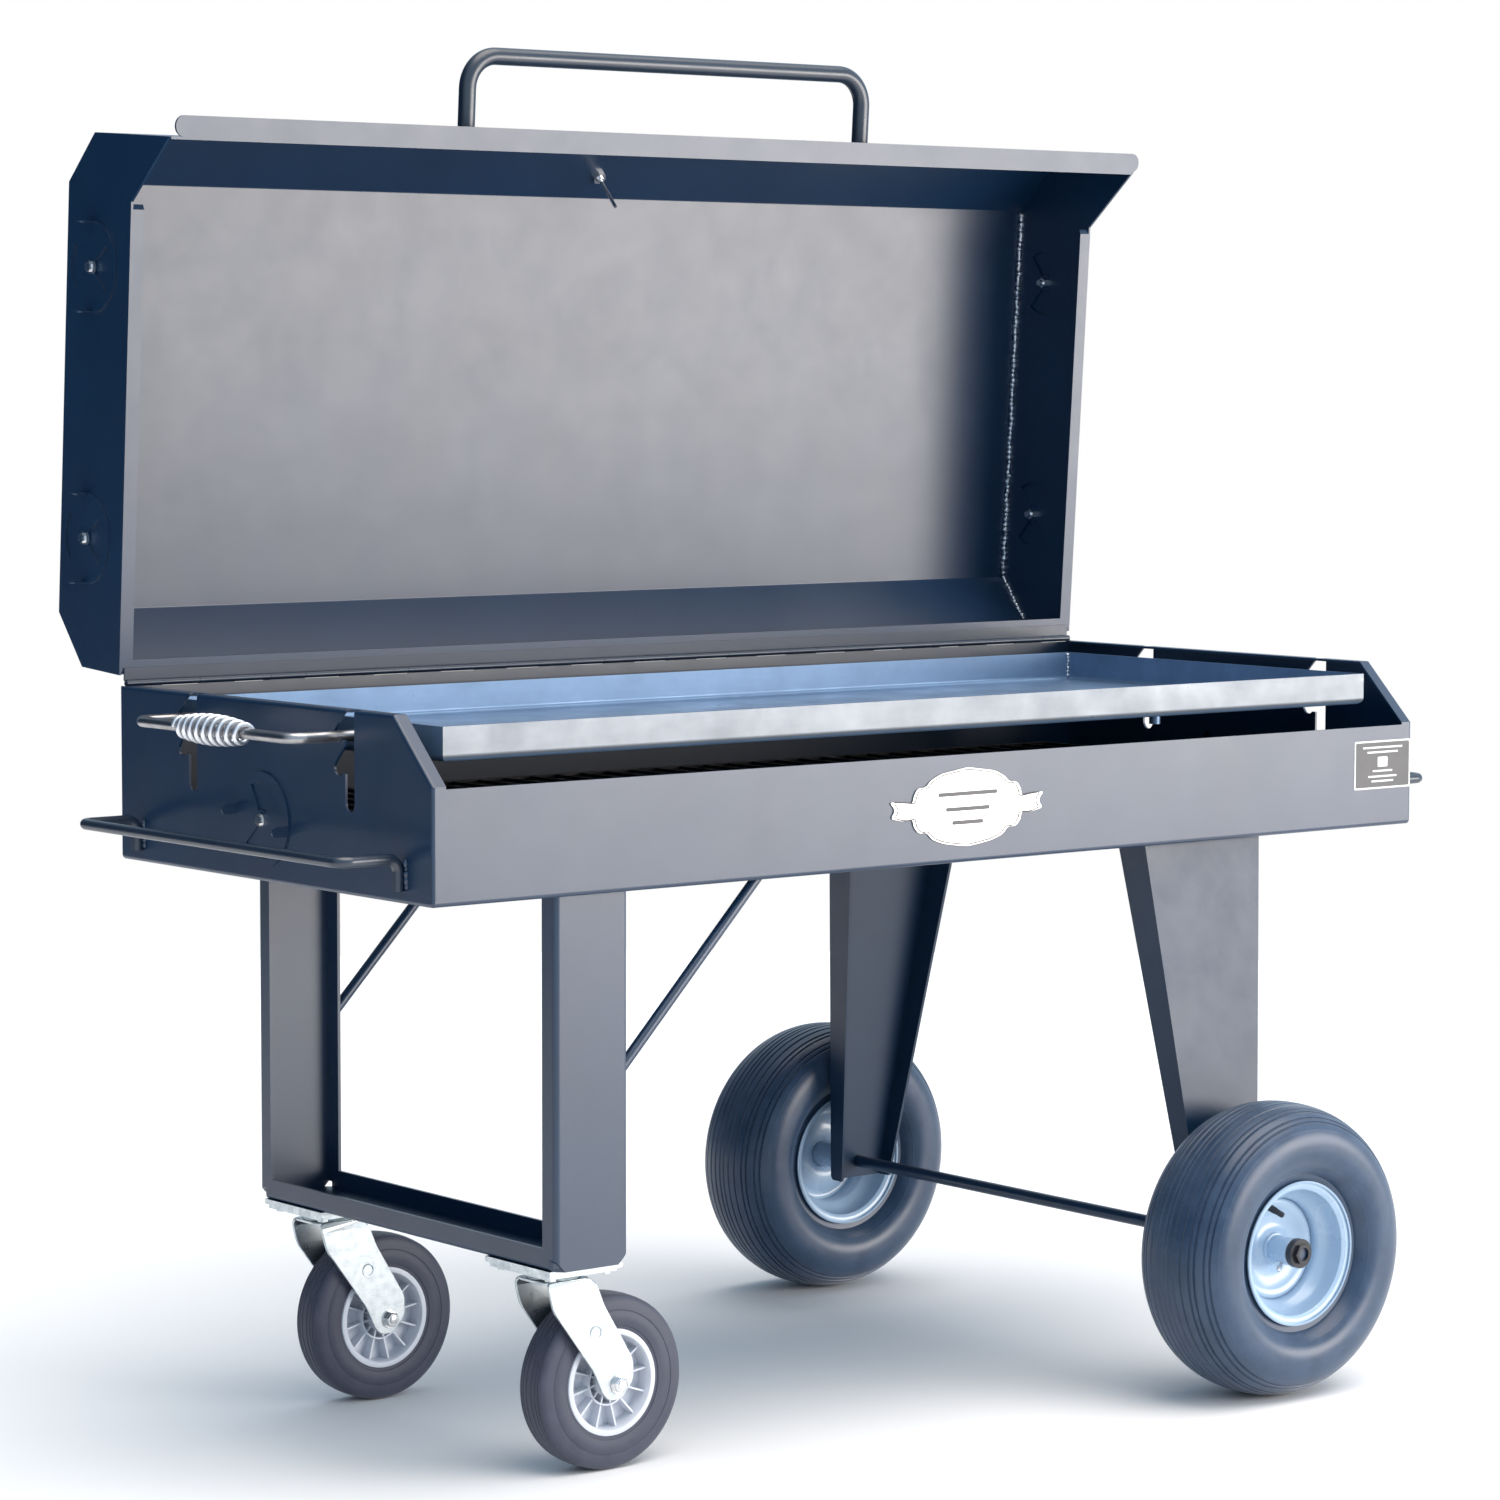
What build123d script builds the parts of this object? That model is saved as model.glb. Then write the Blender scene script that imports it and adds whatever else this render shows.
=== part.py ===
from build123d import *
import os
from math import atan2, cos, degrees, radians, sin, sqrt

# Charcoal roaster on wheels: a low sheet-steel firebox, a hinged lid that
# stands open, a food tray hung in height slots, two swivel casters at the
# left end and two pneumatic wheels at the right end.
# Frame: +X along the box to the right, +Y to the back, +Z up.
# Origin: on the floor, under the middle of the box. Millimetres.

os.makedirs("parts", exist_ok=True)

# ---- driving dimensions -------------------------------------------------
BOX_LEN = 1524.0            # firebox length, 60 in
BOX_DEPTH = 646.0           # firebox depth
BASE_Z = 673.0              # underside of the firebox above the floor
END_H = 205.0               # height of the end plates
FRONT_H = 131.0             # height of the front panel at its ends
FRONT_DROP = 3.0            # the front panel's top edge is this much lower
REAR_H = 199.0              # height of the rear panel
CORNER_RUN = 75.0           # run of the slanted front corner
SHEET = 3.0                 # sheet of box and lid
FOLD_R = 5.0                # outer radius of a fold
FLANGE = 18.0               # inward flange round the openings

SLOT_W = 18.0               # height slots in the end plates
SLOT_Y = (-164.0, 161.0)    # middle of the front and rear slot
SLOT_BOTTOM = 92.0          # foot of a slot above the box's underside
POCKET_BACK = 22.0          # a hook pocket's centre behind its slot's middle
POCKET_R = 9.0
POCKET_Z = (139.6, 177.4)   # centres of the two hook pockets

HINGE_Y = 319.0
HINGE_Z = BASE_Z + 208.0
OPEN_ANGLE = 86.2           # lid opening angle in the modelled pose
RIM_U = 9.0                 # lid's rear wall in front of the hinge axis
RIM_V = 5.5                 # lid's rim above the hinge axis when closed
LID_DEPTH = 635.0
LID_H = 143.0
LID_SIDE = 86.0             # rear and front wall height above the rim
LID_SLOPE = 60.0            # run of the two slanted panels
LID_DROP = 80.0             # front wall below the rim
LIP_W = 25.0

DAMPER_R = 55.0
DAMPER_T = 2.0
VENT_IN = 11.0
VENT_OUT = 44.0
VENT_ARC = 78.0
BOLT_R = 4.0

TRAY_LEN = 1436.0
TRAY_Y = (-280.0, 278.0)
TRAY_Z = (BASE_Z + 153.0, BASE_Z + 192.0)
TRAY_T = 2.0
ROD_R = 6.35                # half-inch rod of handles and rails
BAR_Z = BASE_Z + 175.0
HANDLE_OUT = 62.0           # tray handle beyond the end plate

CASTER_X = -533.0           # swivel axes
CASTER_Y = 230.0
CASTER_TRAIL = 66.0
CASTER_R = 101.6
FRAME_BOTTOM = 249.0        # underside of the caster frame
LEG_W = 102.0
LEG_FLANGE = 25.0
LEG_T = 4.0
BEND_R = 7.0                # outer radius of the leg channels' bends
LEG_Y = 303.0               # outer face of the legs

AXLE_X = 411.0
AXLE_R = 8.0
WHEEL_R = 180.0
WHEEL_W = 140.0
WHEEL_Y = 429.0             # middle plane of the pneumatic wheels

END_X = BOX_LEN / 2
FRONT_Y = -BOX_DEPTH / 2
REAR_Y = BOX_DEPTH / 2
END_TOP = BASE_Z + END_H
FRONT_TOP = BASE_Z + FRONT_H


def save(name, piece):
    """Label a finished piece and write it as its own STEP file."""
    piece.part.label = name
    export_step(piece.part, f"parts/{name}.step")


# ---- the lid's own plane: u from the hinge to the lid's front wall, v up
# from the rim when the lid is closed ------------------------------------
OPEN = radians(OPEN_ANGLE)


def lid_point(u, v, x):
    """A point of the open lid, from its closed-lid coordinates."""
    along = u + RIM_U
    up = v + RIM_V
    y = HINGE_Y - along * cos(OPEN) + up * sin(OPEN)
    z = HINGE_Z + along * sin(OPEN) + up * cos(OPEN)
    return Vector(x, y, z)


U_DIR = (0, -cos(OPEN), sin(OPEN))
V_DIR = (0, sin(OPEN), cos(OPEN))


def lid_plane(x):
    """Profile plane of the lid: local x is u, local y is v, normal is -X."""
    return Plane(origin=lid_point(0, 0, x), x_dir=U_DIR, z_dir=(-1, 0, 0))


def inset_corner(run, rise, gap):
    """Where the slanted edge, moved in by gap, meets the moved sides."""
    length = sqrt(run**2 + rise**2)
    low = (rise * gap - gap * length) / run
    high = (gap * length + run * (rise - gap)) / rise
    return low, high


# Two opposite pie openings round the bolt of a rotary vent.
with BuildSketch() as vent_openings:
    for start in (0, 180):
        with BuildLine():
            outer = CenterArc((0, 0), VENT_OUT, start - VENT_ARC / 2, VENT_ARC)
            inner = CenterArc((0, 0), VENT_IN, start - VENT_ARC / 2, VENT_ARC)
            Line(outer @ 0, inner @ 0)
            Line(outer @ 1, inner @ 1)
        make_face()

# ---- firebox ------------------------------------------------------------
PAN_X = END_X - SHEET

with BuildPart() as firebox_pan:
    with BuildSketch(Plane.YZ.offset(-PAN_X)):
        with BuildLine():
            FilletPolyline(
                (REAR_Y, BASE_Z + REAR_H),
                (REAR_Y, BASE_Z),
                (FRONT_Y, BASE_Z),
                (FRONT_Y, FRONT_TOP - FRONT_DROP),
                radius=FOLD_R,
            )
            offset(amount=SHEET, side=Side.RIGHT)
        make_face()
    extrude(amount=2 * PAN_X)
    with Locations((0, FRONT_Y + SHEET / 2, FRONT_TOP)):
        with GridLocations(2 * (END_X - FLANGE / 2), 0, 2, 1):
            Box(FLANGE, SHEET, 2 * (FRONT_H - 6), mode=Mode.SUBTRACT)
save("firebox_pan", firebox_pan)

RISE = END_H - FRONT_H
INSET_LOW, INSET_HIGH = inset_corner(CORNER_RUN, RISE, SHEET)
VENT_Y = 13.0
VENT_Z = BASE_Z + 70.0

with BuildPart() as firebox_end_left:
    with BuildSketch(Plane.YZ.offset(-END_X)) as end_outline:
        with BuildLine():
            Polyline(
                (FRONT_Y, BASE_Z),
                (FRONT_Y, FRONT_TOP),
                (FRONT_Y + CORNER_RUN, END_TOP),
                (REAR_Y, END_TOP),
                (REAR_Y, BASE_Z),
                close=True,
            )
        make_face()
        lower = end_outline.vertices().group_by(Axis.Y)[0]
        fillet(lower, radius=FOLD_R)
    extrude(amount=FLANGE)
    folds = (
        firebox_end_left.faces().sort_by(Axis.X)[0].edges()
        .filter_by(lambda e: e.center().Z > BASE_Z + 20 and e.center().Y < REAR_Y - 1)
    )
    fillet(folds, radius=FOLD_R - 1)
    with BuildSketch(Plane.YZ.offset(-END_X + SHEET)):
        with BuildLine():
            Polyline(
                (FRONT_Y - 1, BASE_Z - 1),
                (FRONT_Y - 1, BASE_Z + 6),
                (FRONT_Y + SHEET, BASE_Z + 6),
                (FRONT_Y + SHEET, FRONT_TOP + INSET_LOW),
                (FRONT_Y + INSET_HIGH, END_TOP - SHEET),
                (REAR_Y + 1, END_TOP - SHEET),
                (REAR_Y + 1, BASE_Z - 1),
                close=True,
            )
        make_face()
    extrude(amount=FLANGE, mode=Mode.SUBTRACT)
    with BuildSketch(Plane.YZ.offset(-END_X - 1)):
        for slot_y in SLOT_Y:
            foot = BASE_Z + SLOT_BOTTOM + SLOT_W / 2
            with Locations((slot_y, foot)):
                Circle(SLOT_W / 2)
            with Locations((slot_y, (foot + END_TOP) / 2)):
                Rectangle(SLOT_W, END_TOP - foot + 1)
            for pocket_z in POCKET_Z:
                with Locations((slot_y + POCKET_BACK, BASE_Z + pocket_z)):
                    Circle(POCKET_R)
                    slant = POCKET_R * sin(radians(45))
                    reach = POCKET_BACK - SLOT_W / 2
                    Polygon(
                        (-reach - 1, -POCKET_R + 3),
                        (0, -POCKET_R + 3),
                        (slant, slant),
                        (-reach - 1, 2 * slant + reach + 1),
                        align=None,
                    )
    extrude(amount=SHEET + 1.5, mode=Mode.SUBTRACT)
    with BuildSketch(Plane.XY.offset(END_TOP + 1)):
        for slot_y in SLOT_Y:
            with Locations((-END_X + 5, slot_y)):
                Circle(SLOT_W / 2)
            with Locations((-END_X, slot_y)):
                Rectangle(10, SLOT_W)
    extrude(amount=-SHEET - 2, mode=Mode.SUBTRACT)
    with BuildSketch(Plane.YZ.offset(-END_X - 1)):
        with Locations((VENT_Y, VENT_Z)):
            add(vent_openings.sketch)
            Circle(BOLT_R + 0.3)
    extrude(amount=SHEET + 1.5, mode=Mode.SUBTRACT)
    # the top flange stops short of the hinge
    with Locations((-END_X + SHEET, REAR_Y - 12, END_TOP - SHEET - 1)):
        Box(FLANGE, 14, 8, align=(Align.MIN, Align.MIN, Align.MIN), mode=Mode.SUBTRACT)
save("firebox_end_left", firebox_end_left)

with BuildPart() as firebox_end_right:
    mirror(firebox_end_left.part, about=Plane.YZ)
save("firebox_end_right", firebox_end_right)

# Charcoal grate: flat bars on two angle rails welded to the long walls.
GRATE_Z = BASE_Z + 62.0
GRATE_X = 700.0
GRATE_Y = 305.0
with BuildPart() as grate_rails:
    for side in (-1, 1):
        wall_y = side * (REAR_Y - SHEET)
        with Locations((0, wall_y - side * 12.5, GRATE_Z - 1.5)):
            Box(2 * GRATE_X, 25, 3)
        with Locations((0, wall_y - side * 1.5, GRATE_Z - 15)):
            Box(2 * GRATE_X, 3, 30)
save("grate_rails", grate_rails)

with BuildPart() as charcoal_grate:
    with Locations((0, 0, GRATE_Z + 3)):
        with GridLocations(0, 2 * GRATE_Y - 8, 1, 2):
            Box(2 * GRATE_X, 8, 6)
        with GridLocations(2 * GRATE_X - 8, 0, 2, 1):
            Box(8, 2 * GRATE_Y, 6)
    with Locations((0, 0, GRATE_Z + 4)):
        with GridLocations((2 * GRATE_X - 8) / 35, 0, 34, 1):
            Box(6, 2 * GRATE_Y - 8, 4)
save("charcoal_grate", charcoal_grate)


# Push rails: bent rod, its ends turned down flat on the end plates.
def push_rail(side):
    """U-shaped push rail on one end plate."""
    plate_x = side * (END_X + ROD_R)
    grip_x = side * (END_X + 82)
    high = BASE_Z + 50
    low = BASE_Z + 14
    with BuildPart() as rail:
        with BuildLine() as path:
            FilletPolyline(
                (plate_x, -266, low),
                (plate_x, -266, high),
                (grip_x, -266, high),
                (grip_x, 276, high),
                (plate_x, 276, high),
                (plate_x, 276, low),
                radius=14,
            )
        with BuildSketch(Plane(origin=path.line @ 0, z_dir=path.line % 0)):
            Circle(ROD_R)
        sweep()
    return rail


save("push_rail_left", push_rail(-1))
save("push_rail_right", push_rail(1))

# Name plaque and blank data plate on the front panel.
with BuildPart() as name_plaque:
    with BuildSketch(Plane.XZ.offset(-FRONT_Y)):
        with Locations((4, BASE_Z + 66)):
            Ellipse(88, 48)
            RectangleRounded(246, 50, radius=12)
    extrude(amount=2)
    with BuildSketch(Plane.XZ.offset(-FRONT_Y + 2)):
        with Locations((4, BASE_Z + 66)):
            Ellipse(82, 42)
            Ellipse(78, 38, mode=Mode.SUBTRACT)
    extrude(amount=0.8)
save("name_plaque", name_plaque)

with BuildPart() as data_plate:
    with BuildSketch(Plane.XZ.offset(-FRONT_Y)):
        with Locations((709, BASE_Z + 79)):
            RectangleRounded(102, 62, radius=3)
    extrude(amount=0.8)
save("data_plate", data_plate)

# Stops behind the box on which the open lid lies.
STOP_X = 520.0
with BuildPart() as lid_stops:
    for stop_x in (-STOP_X, STOP_X):
        with BuildSketch(Plane.YZ.offset(stop_x - 3)):
            with BuildLine():
                Polyline(
                    (REAR_Y, BASE_Z + 110),
                    (REAR_Y, END_TOP + 2),
                    (lid_point(-6.3, 8, 0).Y, lid_point(-6.3, 8, 0).Z),
                    (lid_point(-6.3, 60, 0).Y, lid_point(-6.3, 60, 0).Z),
                    (lid_point(-20, 60, 0).Y, lid_point(-20, 60, 0).Z),
                    close=True,
                )
            make_face()
        extrude(amount=6)
        with BuildSketch(Plane.YZ.offset(stop_x - 20)):
            with BuildLine():
                Polyline(
                    (lid_point(-6.3, 12, 0).Y, lid_point(-6.3, 12, 0).Z),
                    (lid_point(-6.3, 62, 0).Y, lid_point(-6.3, 62, 0).Z),
                    (lid_point(-0.3, 62, 0).Y, lid_point(-0.3, 62, 0).Z),
                    (lid_point(-0.3, 12, 0).Y, lid_point(-0.3, 12, 0).Z),
                    close=True,
                )
            make_face()
        extrude(amount=40)
save("lid_stops", lid_stops)

# ---- piano hinge: knuckles of the two leaves alternate along one pin -----
KNUCKLE = 50.4
KNUCKLES = 30
BARREL_R = 4.0
PIN_R = 2.0
HINGE_START = -KNUCKLE * KNUCKLES / 2
KNUCKLE_GAP = 0.4
LEAF_T = 1.5

with BuildPart() as hinge_leaf_box:
    for index in range(0, KNUCKLES, 2):
        start = HINGE_START + index * KNUCKLE + KNUCKLE_GAP / 2
        with BuildSketch(Plane.YZ.offset(start)):
            with Locations((HINGE_Y, HINGE_Z)):
                Circle(BARREL_R)
            with Locations((REAR_Y - SHEET - LEAF_T / 2, HINGE_Z - 7)):
                Rectangle(LEAF_T, 8)
            with Locations((HINGE_Y, HINGE_Z)):
                Circle(PIN_R + 0.06, mode=Mode.SUBTRACT)
        extrude(amount=KNUCKLE - KNUCKLE_GAP)
    with Locations((0, REAR_Y - SHEET - LEAF_T / 2, HINGE_Z - 16.2)):
        Box(2 * -HINGE_START, LEAF_T, 23.6)
save("hinge_leaf_box", hinge_leaf_box)

with BuildPart() as hinge_leaf_lid:
    for index in range(1, KNUCKLES, 2):
        start = HINGE_START + (index + 1) * KNUCKLE - KNUCKLE_GAP / 2
        with BuildSketch(lid_plane(start)):
            with Locations((-RIM_U, -RIM_V)):
                Circle(BARREL_R)
            with Locations((-6, -1)):
                Rectangle(6, 2)
            with Locations((-RIM_U, -RIM_V)):
                Circle(PIN_R + 0.06, mode=Mode.SUBTRACT)
        extrude(amount=KNUCKLE - KNUCKLE_GAP)
    with BuildSketch(lid_plane(-HINGE_START)):
        with Locations((1.25, -1)):
            Rectangle(15.5, 2)
    extrude(amount=-2 * HINGE_START)
save("hinge_leaf_lid", hinge_leaf_lid)

with BuildPart() as hinge_pin:
    with BuildSketch(Plane.YZ.offset(HINGE_START - 1)):
        with Locations((HINGE_Y, HINGE_Z)):
            Circle(PIN_R)
    extrude(amount=-2 * HINGE_START + 2)
save("hinge_pin", hinge_pin)

# ---- lid ----------------------------------------------------------------
LID_OUTLINE = (
    (0, 0),
    (0, LID_SIDE),
    (LID_SLOPE, LID_H),
    (LID_DEPTH - LID_SLOPE, LID_H),
    (LID_DEPTH, LID_SIDE),
    (LID_DEPTH, -LID_DROP),
    (LID_DEPTH - CORNER_RUN - 3, 0),
)

# Plane of the thermometer, middle of the front slanted panel, facing out.
STEM_HOLE_R = 5.0
SLOPE_RISE = LID_H - LID_SIDE
SLOPE_TURN = atan2(SLOPE_RISE, LID_SLOPE)
SLOPE_NORMAL = (
    0,
    -cos(OPEN) * sin(SLOPE_TURN) + sin(OPEN) * cos(SLOPE_TURN),
    sin(OPEN) * sin(SLOPE_TURN) + cos(OPEN) * cos(SLOPE_TURN),
)
dial_plane = Plane(
    origin=lid_point(LID_DEPTH - LID_SLOPE / 2, LID_SIDE + SLOPE_RISE / 2, 0),
    x_dir=(1, 0, 0),
    z_dir=SLOPE_NORMAL,
)
with BuildPart() as lid_shell:
    with BuildSketch(lid_plane(PAN_X)):
        with BuildLine():
            FilletPolyline(
                (FLANGE, 0), *LID_OUTLINE[:6],
                radius=FOLD_R,
            )
            offset(amount=SHEET, side=Side.RIGHT)
        make_face()
    extrude(amount=2 * PAN_X)
    with BuildSketch(dial_plane.offset(1)):
        Circle(STEM_HOLE_R)
    extrude(amount=-SHEET - 2, mode=Mode.SUBTRACT)
save("lid_shell", lid_shell)


def lid_end(side):
    """End plate of the lid with its rim flange and two vents."""
    face_x = side * END_X
    plane = lid_plane(face_x)
    inner = lid_plane(face_x - side * SHEET)
    with BuildPart() as plate:
        with BuildSketch(plane):
            with BuildLine():
                Polyline(*LID_OUTLINE, close=True)
            make_face()
        extrude(amount=side * SHEET)
        with BuildSketch(inner):
            with BuildLine():
                Polyline(
                    (FLANGE, 0),
                    (FLANGE, SHEET),
                    (LID_DEPTH - CORNER_RUN - 6, SHEET),
                    (LID_DEPTH - CORNER_RUN - 12, 0),
                    close=True,
                )
            make_face()
        extrude(amount=side * (FLANGE - SHEET))
        for vent_u in VENT_U:
            with BuildSketch(lid_plane(face_x + side)):
                with Locations((vent_u, VENT_V)):
                    add(vent_openings.sketch)
                    Circle(BOLT_R + 0.3)
            extrude(amount=side * (SHEET + 2), mode=Mode.SUBTRACT)
    return plate


VENT_U = (155.0, 477.0)
VENT_V = 84.0
lid_end_left = lid_end(-1)
lid_end_right = lid_end(1)
save("lid_end_left", lid_end_left)
save("lid_end_right", lid_end_right)

# Lip folded outwards along the lower edge of the front wall.
LIP_START = -753.0
LIP_END = 770.0
with BuildPart() as lid_lip:
    lip_plane = Plane(origin=lid_point(LID_DEPTH, -LID_DROP, 0), x_dir=(1, 0, 0), z_dir=V_DIR)
    with BuildSketch(lip_plane) as lip_sketch:
        with Locations(((LIP_START + LIP_END) / 2, -LIP_W / 2)):
            Rectangle(LIP_END - LIP_START, LIP_W)
        fillet(lip_sketch.vertices().group_by(Axis.Z)[-1], radius=12)
    extrude(amount=SHEET)
save("lid_lip", lid_lip)

# Lid handle: bent half-inch pipe welded to the front wall.
PIPE_R = 10.65
HANDLE_V = -34.0
HANDLE_X = 313.0
HANDLE_UP = 757.0 - PIPE_R
with BuildPart() as lid_handle:
    with BuildLine() as handle_path:
        FilletPolyline(
            lid_point(LID_DEPTH, HANDLE_V, -HANDLE_X),
            lid_point(HANDLE_UP, HANDLE_V, -HANDLE_X),
            lid_point(HANDLE_UP, HANDLE_V, HANDLE_X),
            lid_point(LID_DEPTH, HANDLE_V, HANDLE_X),
            radius=40,
        )
    with BuildSketch(Plane(origin=handle_path.line @ 0, z_dir=handle_path.line % 0)):
        Circle(PIPE_R)
    sweep()
save("lid_handle", lid_handle)

# Thermometer: dial case outside, threaded neck, nut and stem inside.
with BuildPart() as thermometer_case:
    with BuildSketch(dial_plane):
        Circle(31)
    extrude(amount=12)
    rim_edges = thermometer_case.edges().filter_by(GeomType.CIRCLE)
    fillet(rim_edges.sort_by(Axis(dial_plane.origin, dial_plane.z_dir))[-1], radius=3)
    with BuildSketch(dial_plane.offset(12)):
        Circle(26)
    extrude(amount=-2, mode=Mode.SUBTRACT)
save("thermometer_case", thermometer_case)

with BuildPart() as thermometer_glass:
    with BuildSketch(dial_plane.offset(10)):
        Circle(25.9)
    extrude(amount=1.5)
save("thermometer_glass", thermometer_glass)

with BuildPart() as thermometer_stem:
    with BuildSketch(dial_plane):
        Circle(STEM_HOLE_R - 0.1)
    extrude(amount=-SHEET - 9)
    with BuildSketch(dial_plane.offset(-SHEET)):
        RegularPolygon(9, 6)
    extrude(amount=-6)
    with BuildSketch(dial_plane.offset(-SHEET - 9)):
        Circle(2.2)
    extrude(amount=-46)
save("thermometer_stem", thermometer_stem)


# ---- rotary dampers -----------------------------------------------------
def damper(centre, x_dir, side):
    """Vent disc with two bent finger tabs, on the outside of a plate."""
    face = Plane(origin=centre, x_dir=x_dir, z_dir=(side, 0, 0)).offset(0.2)
    with BuildPart() as disc:
        with BuildSketch(face):
            Circle(DAMPER_R)
            Circle(BOLT_R + 0.08, mode=Mode.SUBTRACT)
        extrude(amount=DAMPER_T)
        with BuildSketch(face.offset(-1)):
            add(vent_openings.sketch, rotation=90)
        extrude(amount=DAMPER_T + 2, mode=Mode.SUBTRACT)
        for reach in (-DAMPER_R + 2, DAMPER_R - 2):
            tab = Plane(origin=face.origin, x_dir=face.y_dir, z_dir=face.x_dir)
            with BuildSketch(tab.offset(reach - 1)):
                with Locations((0, 0)):
                    tab_sign = 1 if (tab.y_dir.X * side) > 0 else -1
                    with Locations((0, tab_sign * 8)):
                        Rectangle(12, 16)
                    with Locations((0, tab_sign * 16)):
                        Circle(6)
            extrude(amount=2)
    return disc


def damper_bolt(centre, side):
    """Pivot bolt of a damper: domed head outside, washer and nut inside."""
    outer = Plane(origin=centre, z_dir=(side, 0, 0))
    with BuildPart() as bolt:
        with BuildSketch(outer.offset(DAMPER_T + 0.4)):
            Circle(8)
        extrude(amount=1.5)
        with BuildSketch(outer.offset(DAMPER_T + 1.9)):
            RegularPolygon(6, 6)
        extrude(amount=4)
        with BuildSketch(outer.offset(-SHEET - 12)):
            Circle(BOLT_R)
        extrude(amount=SHEET + DAMPER_T + 16)
        with BuildSketch(outer.offset(-SHEET)):
            RegularPolygon(7, 6)
        extrude(amount=-6)
    return bolt.part


for side, name in ((-1, "left"), (1, "right")):
    centre = (side * END_X, VENT_Y, VENT_Z)
    piece = damper(centre, (0, cos(radians(10)), sin(radians(10))), side)
    save(f"firebox_damper_{name}", piece)
    for place, vent_u in zip(("rear", "front"), VENT_U):
        centre = lid_point(vent_u, VENT_V, side * END_X)
        save(f"lid_damper_{name}_{place}", damper(centre, U_DIR, side))

box_bolts = [damper_bolt((side * END_X, VENT_Y, VENT_Z), side) for side in (-1, 1)]
lid_bolts = [
    damper_bolt(lid_point(vent_u, VENT_V, side * END_X), side)
    for side in (-1, 1)
    for vent_u in VENT_U
]
with BuildPart() as firebox_damper_bolts:
    add(box_bolts)
save("firebox_damper_bolts", firebox_damper_bolts)

with BuildPart() as lid_damper_bolts:
    add(lid_bolts)
save("lid_damper_bolts", lid_damper_bolts)

# ---- tray ---------------------------------------------------------------
TRAY_MID = (TRAY_Y[0] + TRAY_Y[1]) / 2
TRAY_DEPTH = TRAY_Y[1] - TRAY_Y[0]
TRAY_H = TRAY_Z[1] - TRAY_Z[0]
DRAIN_AT = (404.0, -223.0)
DRAIN_R = 5.0
DRAIN_H = 14.0
with BuildPart() as tray_pan:
    with Locations((0, TRAY_MID, TRAY_Z[0])):
        Box(TRAY_LEN, TRAY_DEPTH, TRAY_H, align=(Align.CENTER, Align.CENTER, Align.MIN))
    fillet(tray_pan.faces().sort_by(Axis.Z)[0].edges(), radius=8)
    offset(amount=-TRAY_T, openings=tray_pan.faces().sort_by(Axis.Z)[-1])
    with BuildSketch(Plane.XY.offset(TRAY_Z[0] - 1)):
        with Locations(DRAIN_AT):
            Circle(DRAIN_R)
    extrude(amount=TRAY_T + 2, mode=Mode.SUBTRACT)
save("tray_pan", tray_pan)

BAR_Y = [slot_y + POCKET_BACK for slot_y in SLOT_Y]
GRIP_X = END_X + HANDLE_OUT


def tray_handle(side):
    """Carrying rod on one end of the tray, out through the height slots."""
    with BuildPart() as rod:
        with BuildLine() as path:
            FilletPolyline(
                (side * TRAY_LEN / 2, BAR_Y[0], BAR_Z),
                (side * GRIP_X, BAR_Y[0], BAR_Z),
                (side * GRIP_X, BAR_Y[1], BAR_Z),
                (side * TRAY_LEN / 2, BAR_Y[1], BAR_Z),
                radius=18,
            )
        with BuildSketch(Plane(origin=path.line @ 0, z_dir=path.line % 0)):
            Circle(ROD_R)
        sweep()
    return rod


SPRING_Y = (-54.0, 91.0)
SPRING_MID = 5.0


def grip_spring(side):
    """Envelope of the coiled spring grip round a handle's crossbar."""
    with BuildPart() as spring:
        with BuildSketch(Plane(origin=(side * GRIP_X, 0, BAR_Z), z_dir=(0, 0, 1))):
            with BuildLine():
                bore = ROD_R + 0.2
                low = (bore, SPRING_Y[0])
                high = (bore, SPRING_Y[1])
                Polyline(high, low, (9, SPRING_Y[0]))
                Spline((9, SPRING_Y[0]), (18.3, SPRING_MID), (9, SPRING_Y[1]))
                Line((9, SPRING_Y[1]), high)
            make_face()
        revolve(axis=Axis((side * GRIP_X, 0, BAR_Z), (0, 1, 0)))
    return spring


for side, name in ((-1, "left"), (1, "right")):
    save(f"tray_handle_{name}", tray_handle(side))
    save(f"grip_spring_{name}", grip_spring(side))

# Drain nipple under the front of the tray.
with BuildPart() as tray_drain:
    with BuildSketch(Plane.XY.offset(TRAY_Z[0])):
        with Locations(DRAIN_AT):
            Circle(DRAIN_R + 2)
            Circle(DRAIN_R, mode=Mode.SUBTRACT)
    extrude(amount=-DRAIN_H)
save("tray_drain", tray_drain)

# ---- caster frame -------------------------------------------------------
LEG_X = CASTER_X
CROSS_TOP = FRAME_BOTTOM + LEG_FLANGE


def channel(width):
    """Channel section across local x, web on the local x axis."""
    with Locations((0, LEG_T / 2)):
        Rectangle(width, LEG_T)
    for edge in (-1, 1):
        with Locations((edge * (width - LEG_T) / 2, LEG_FLANGE / 2)):
            Rectangle(LEG_T, LEG_FLANGE)


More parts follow.
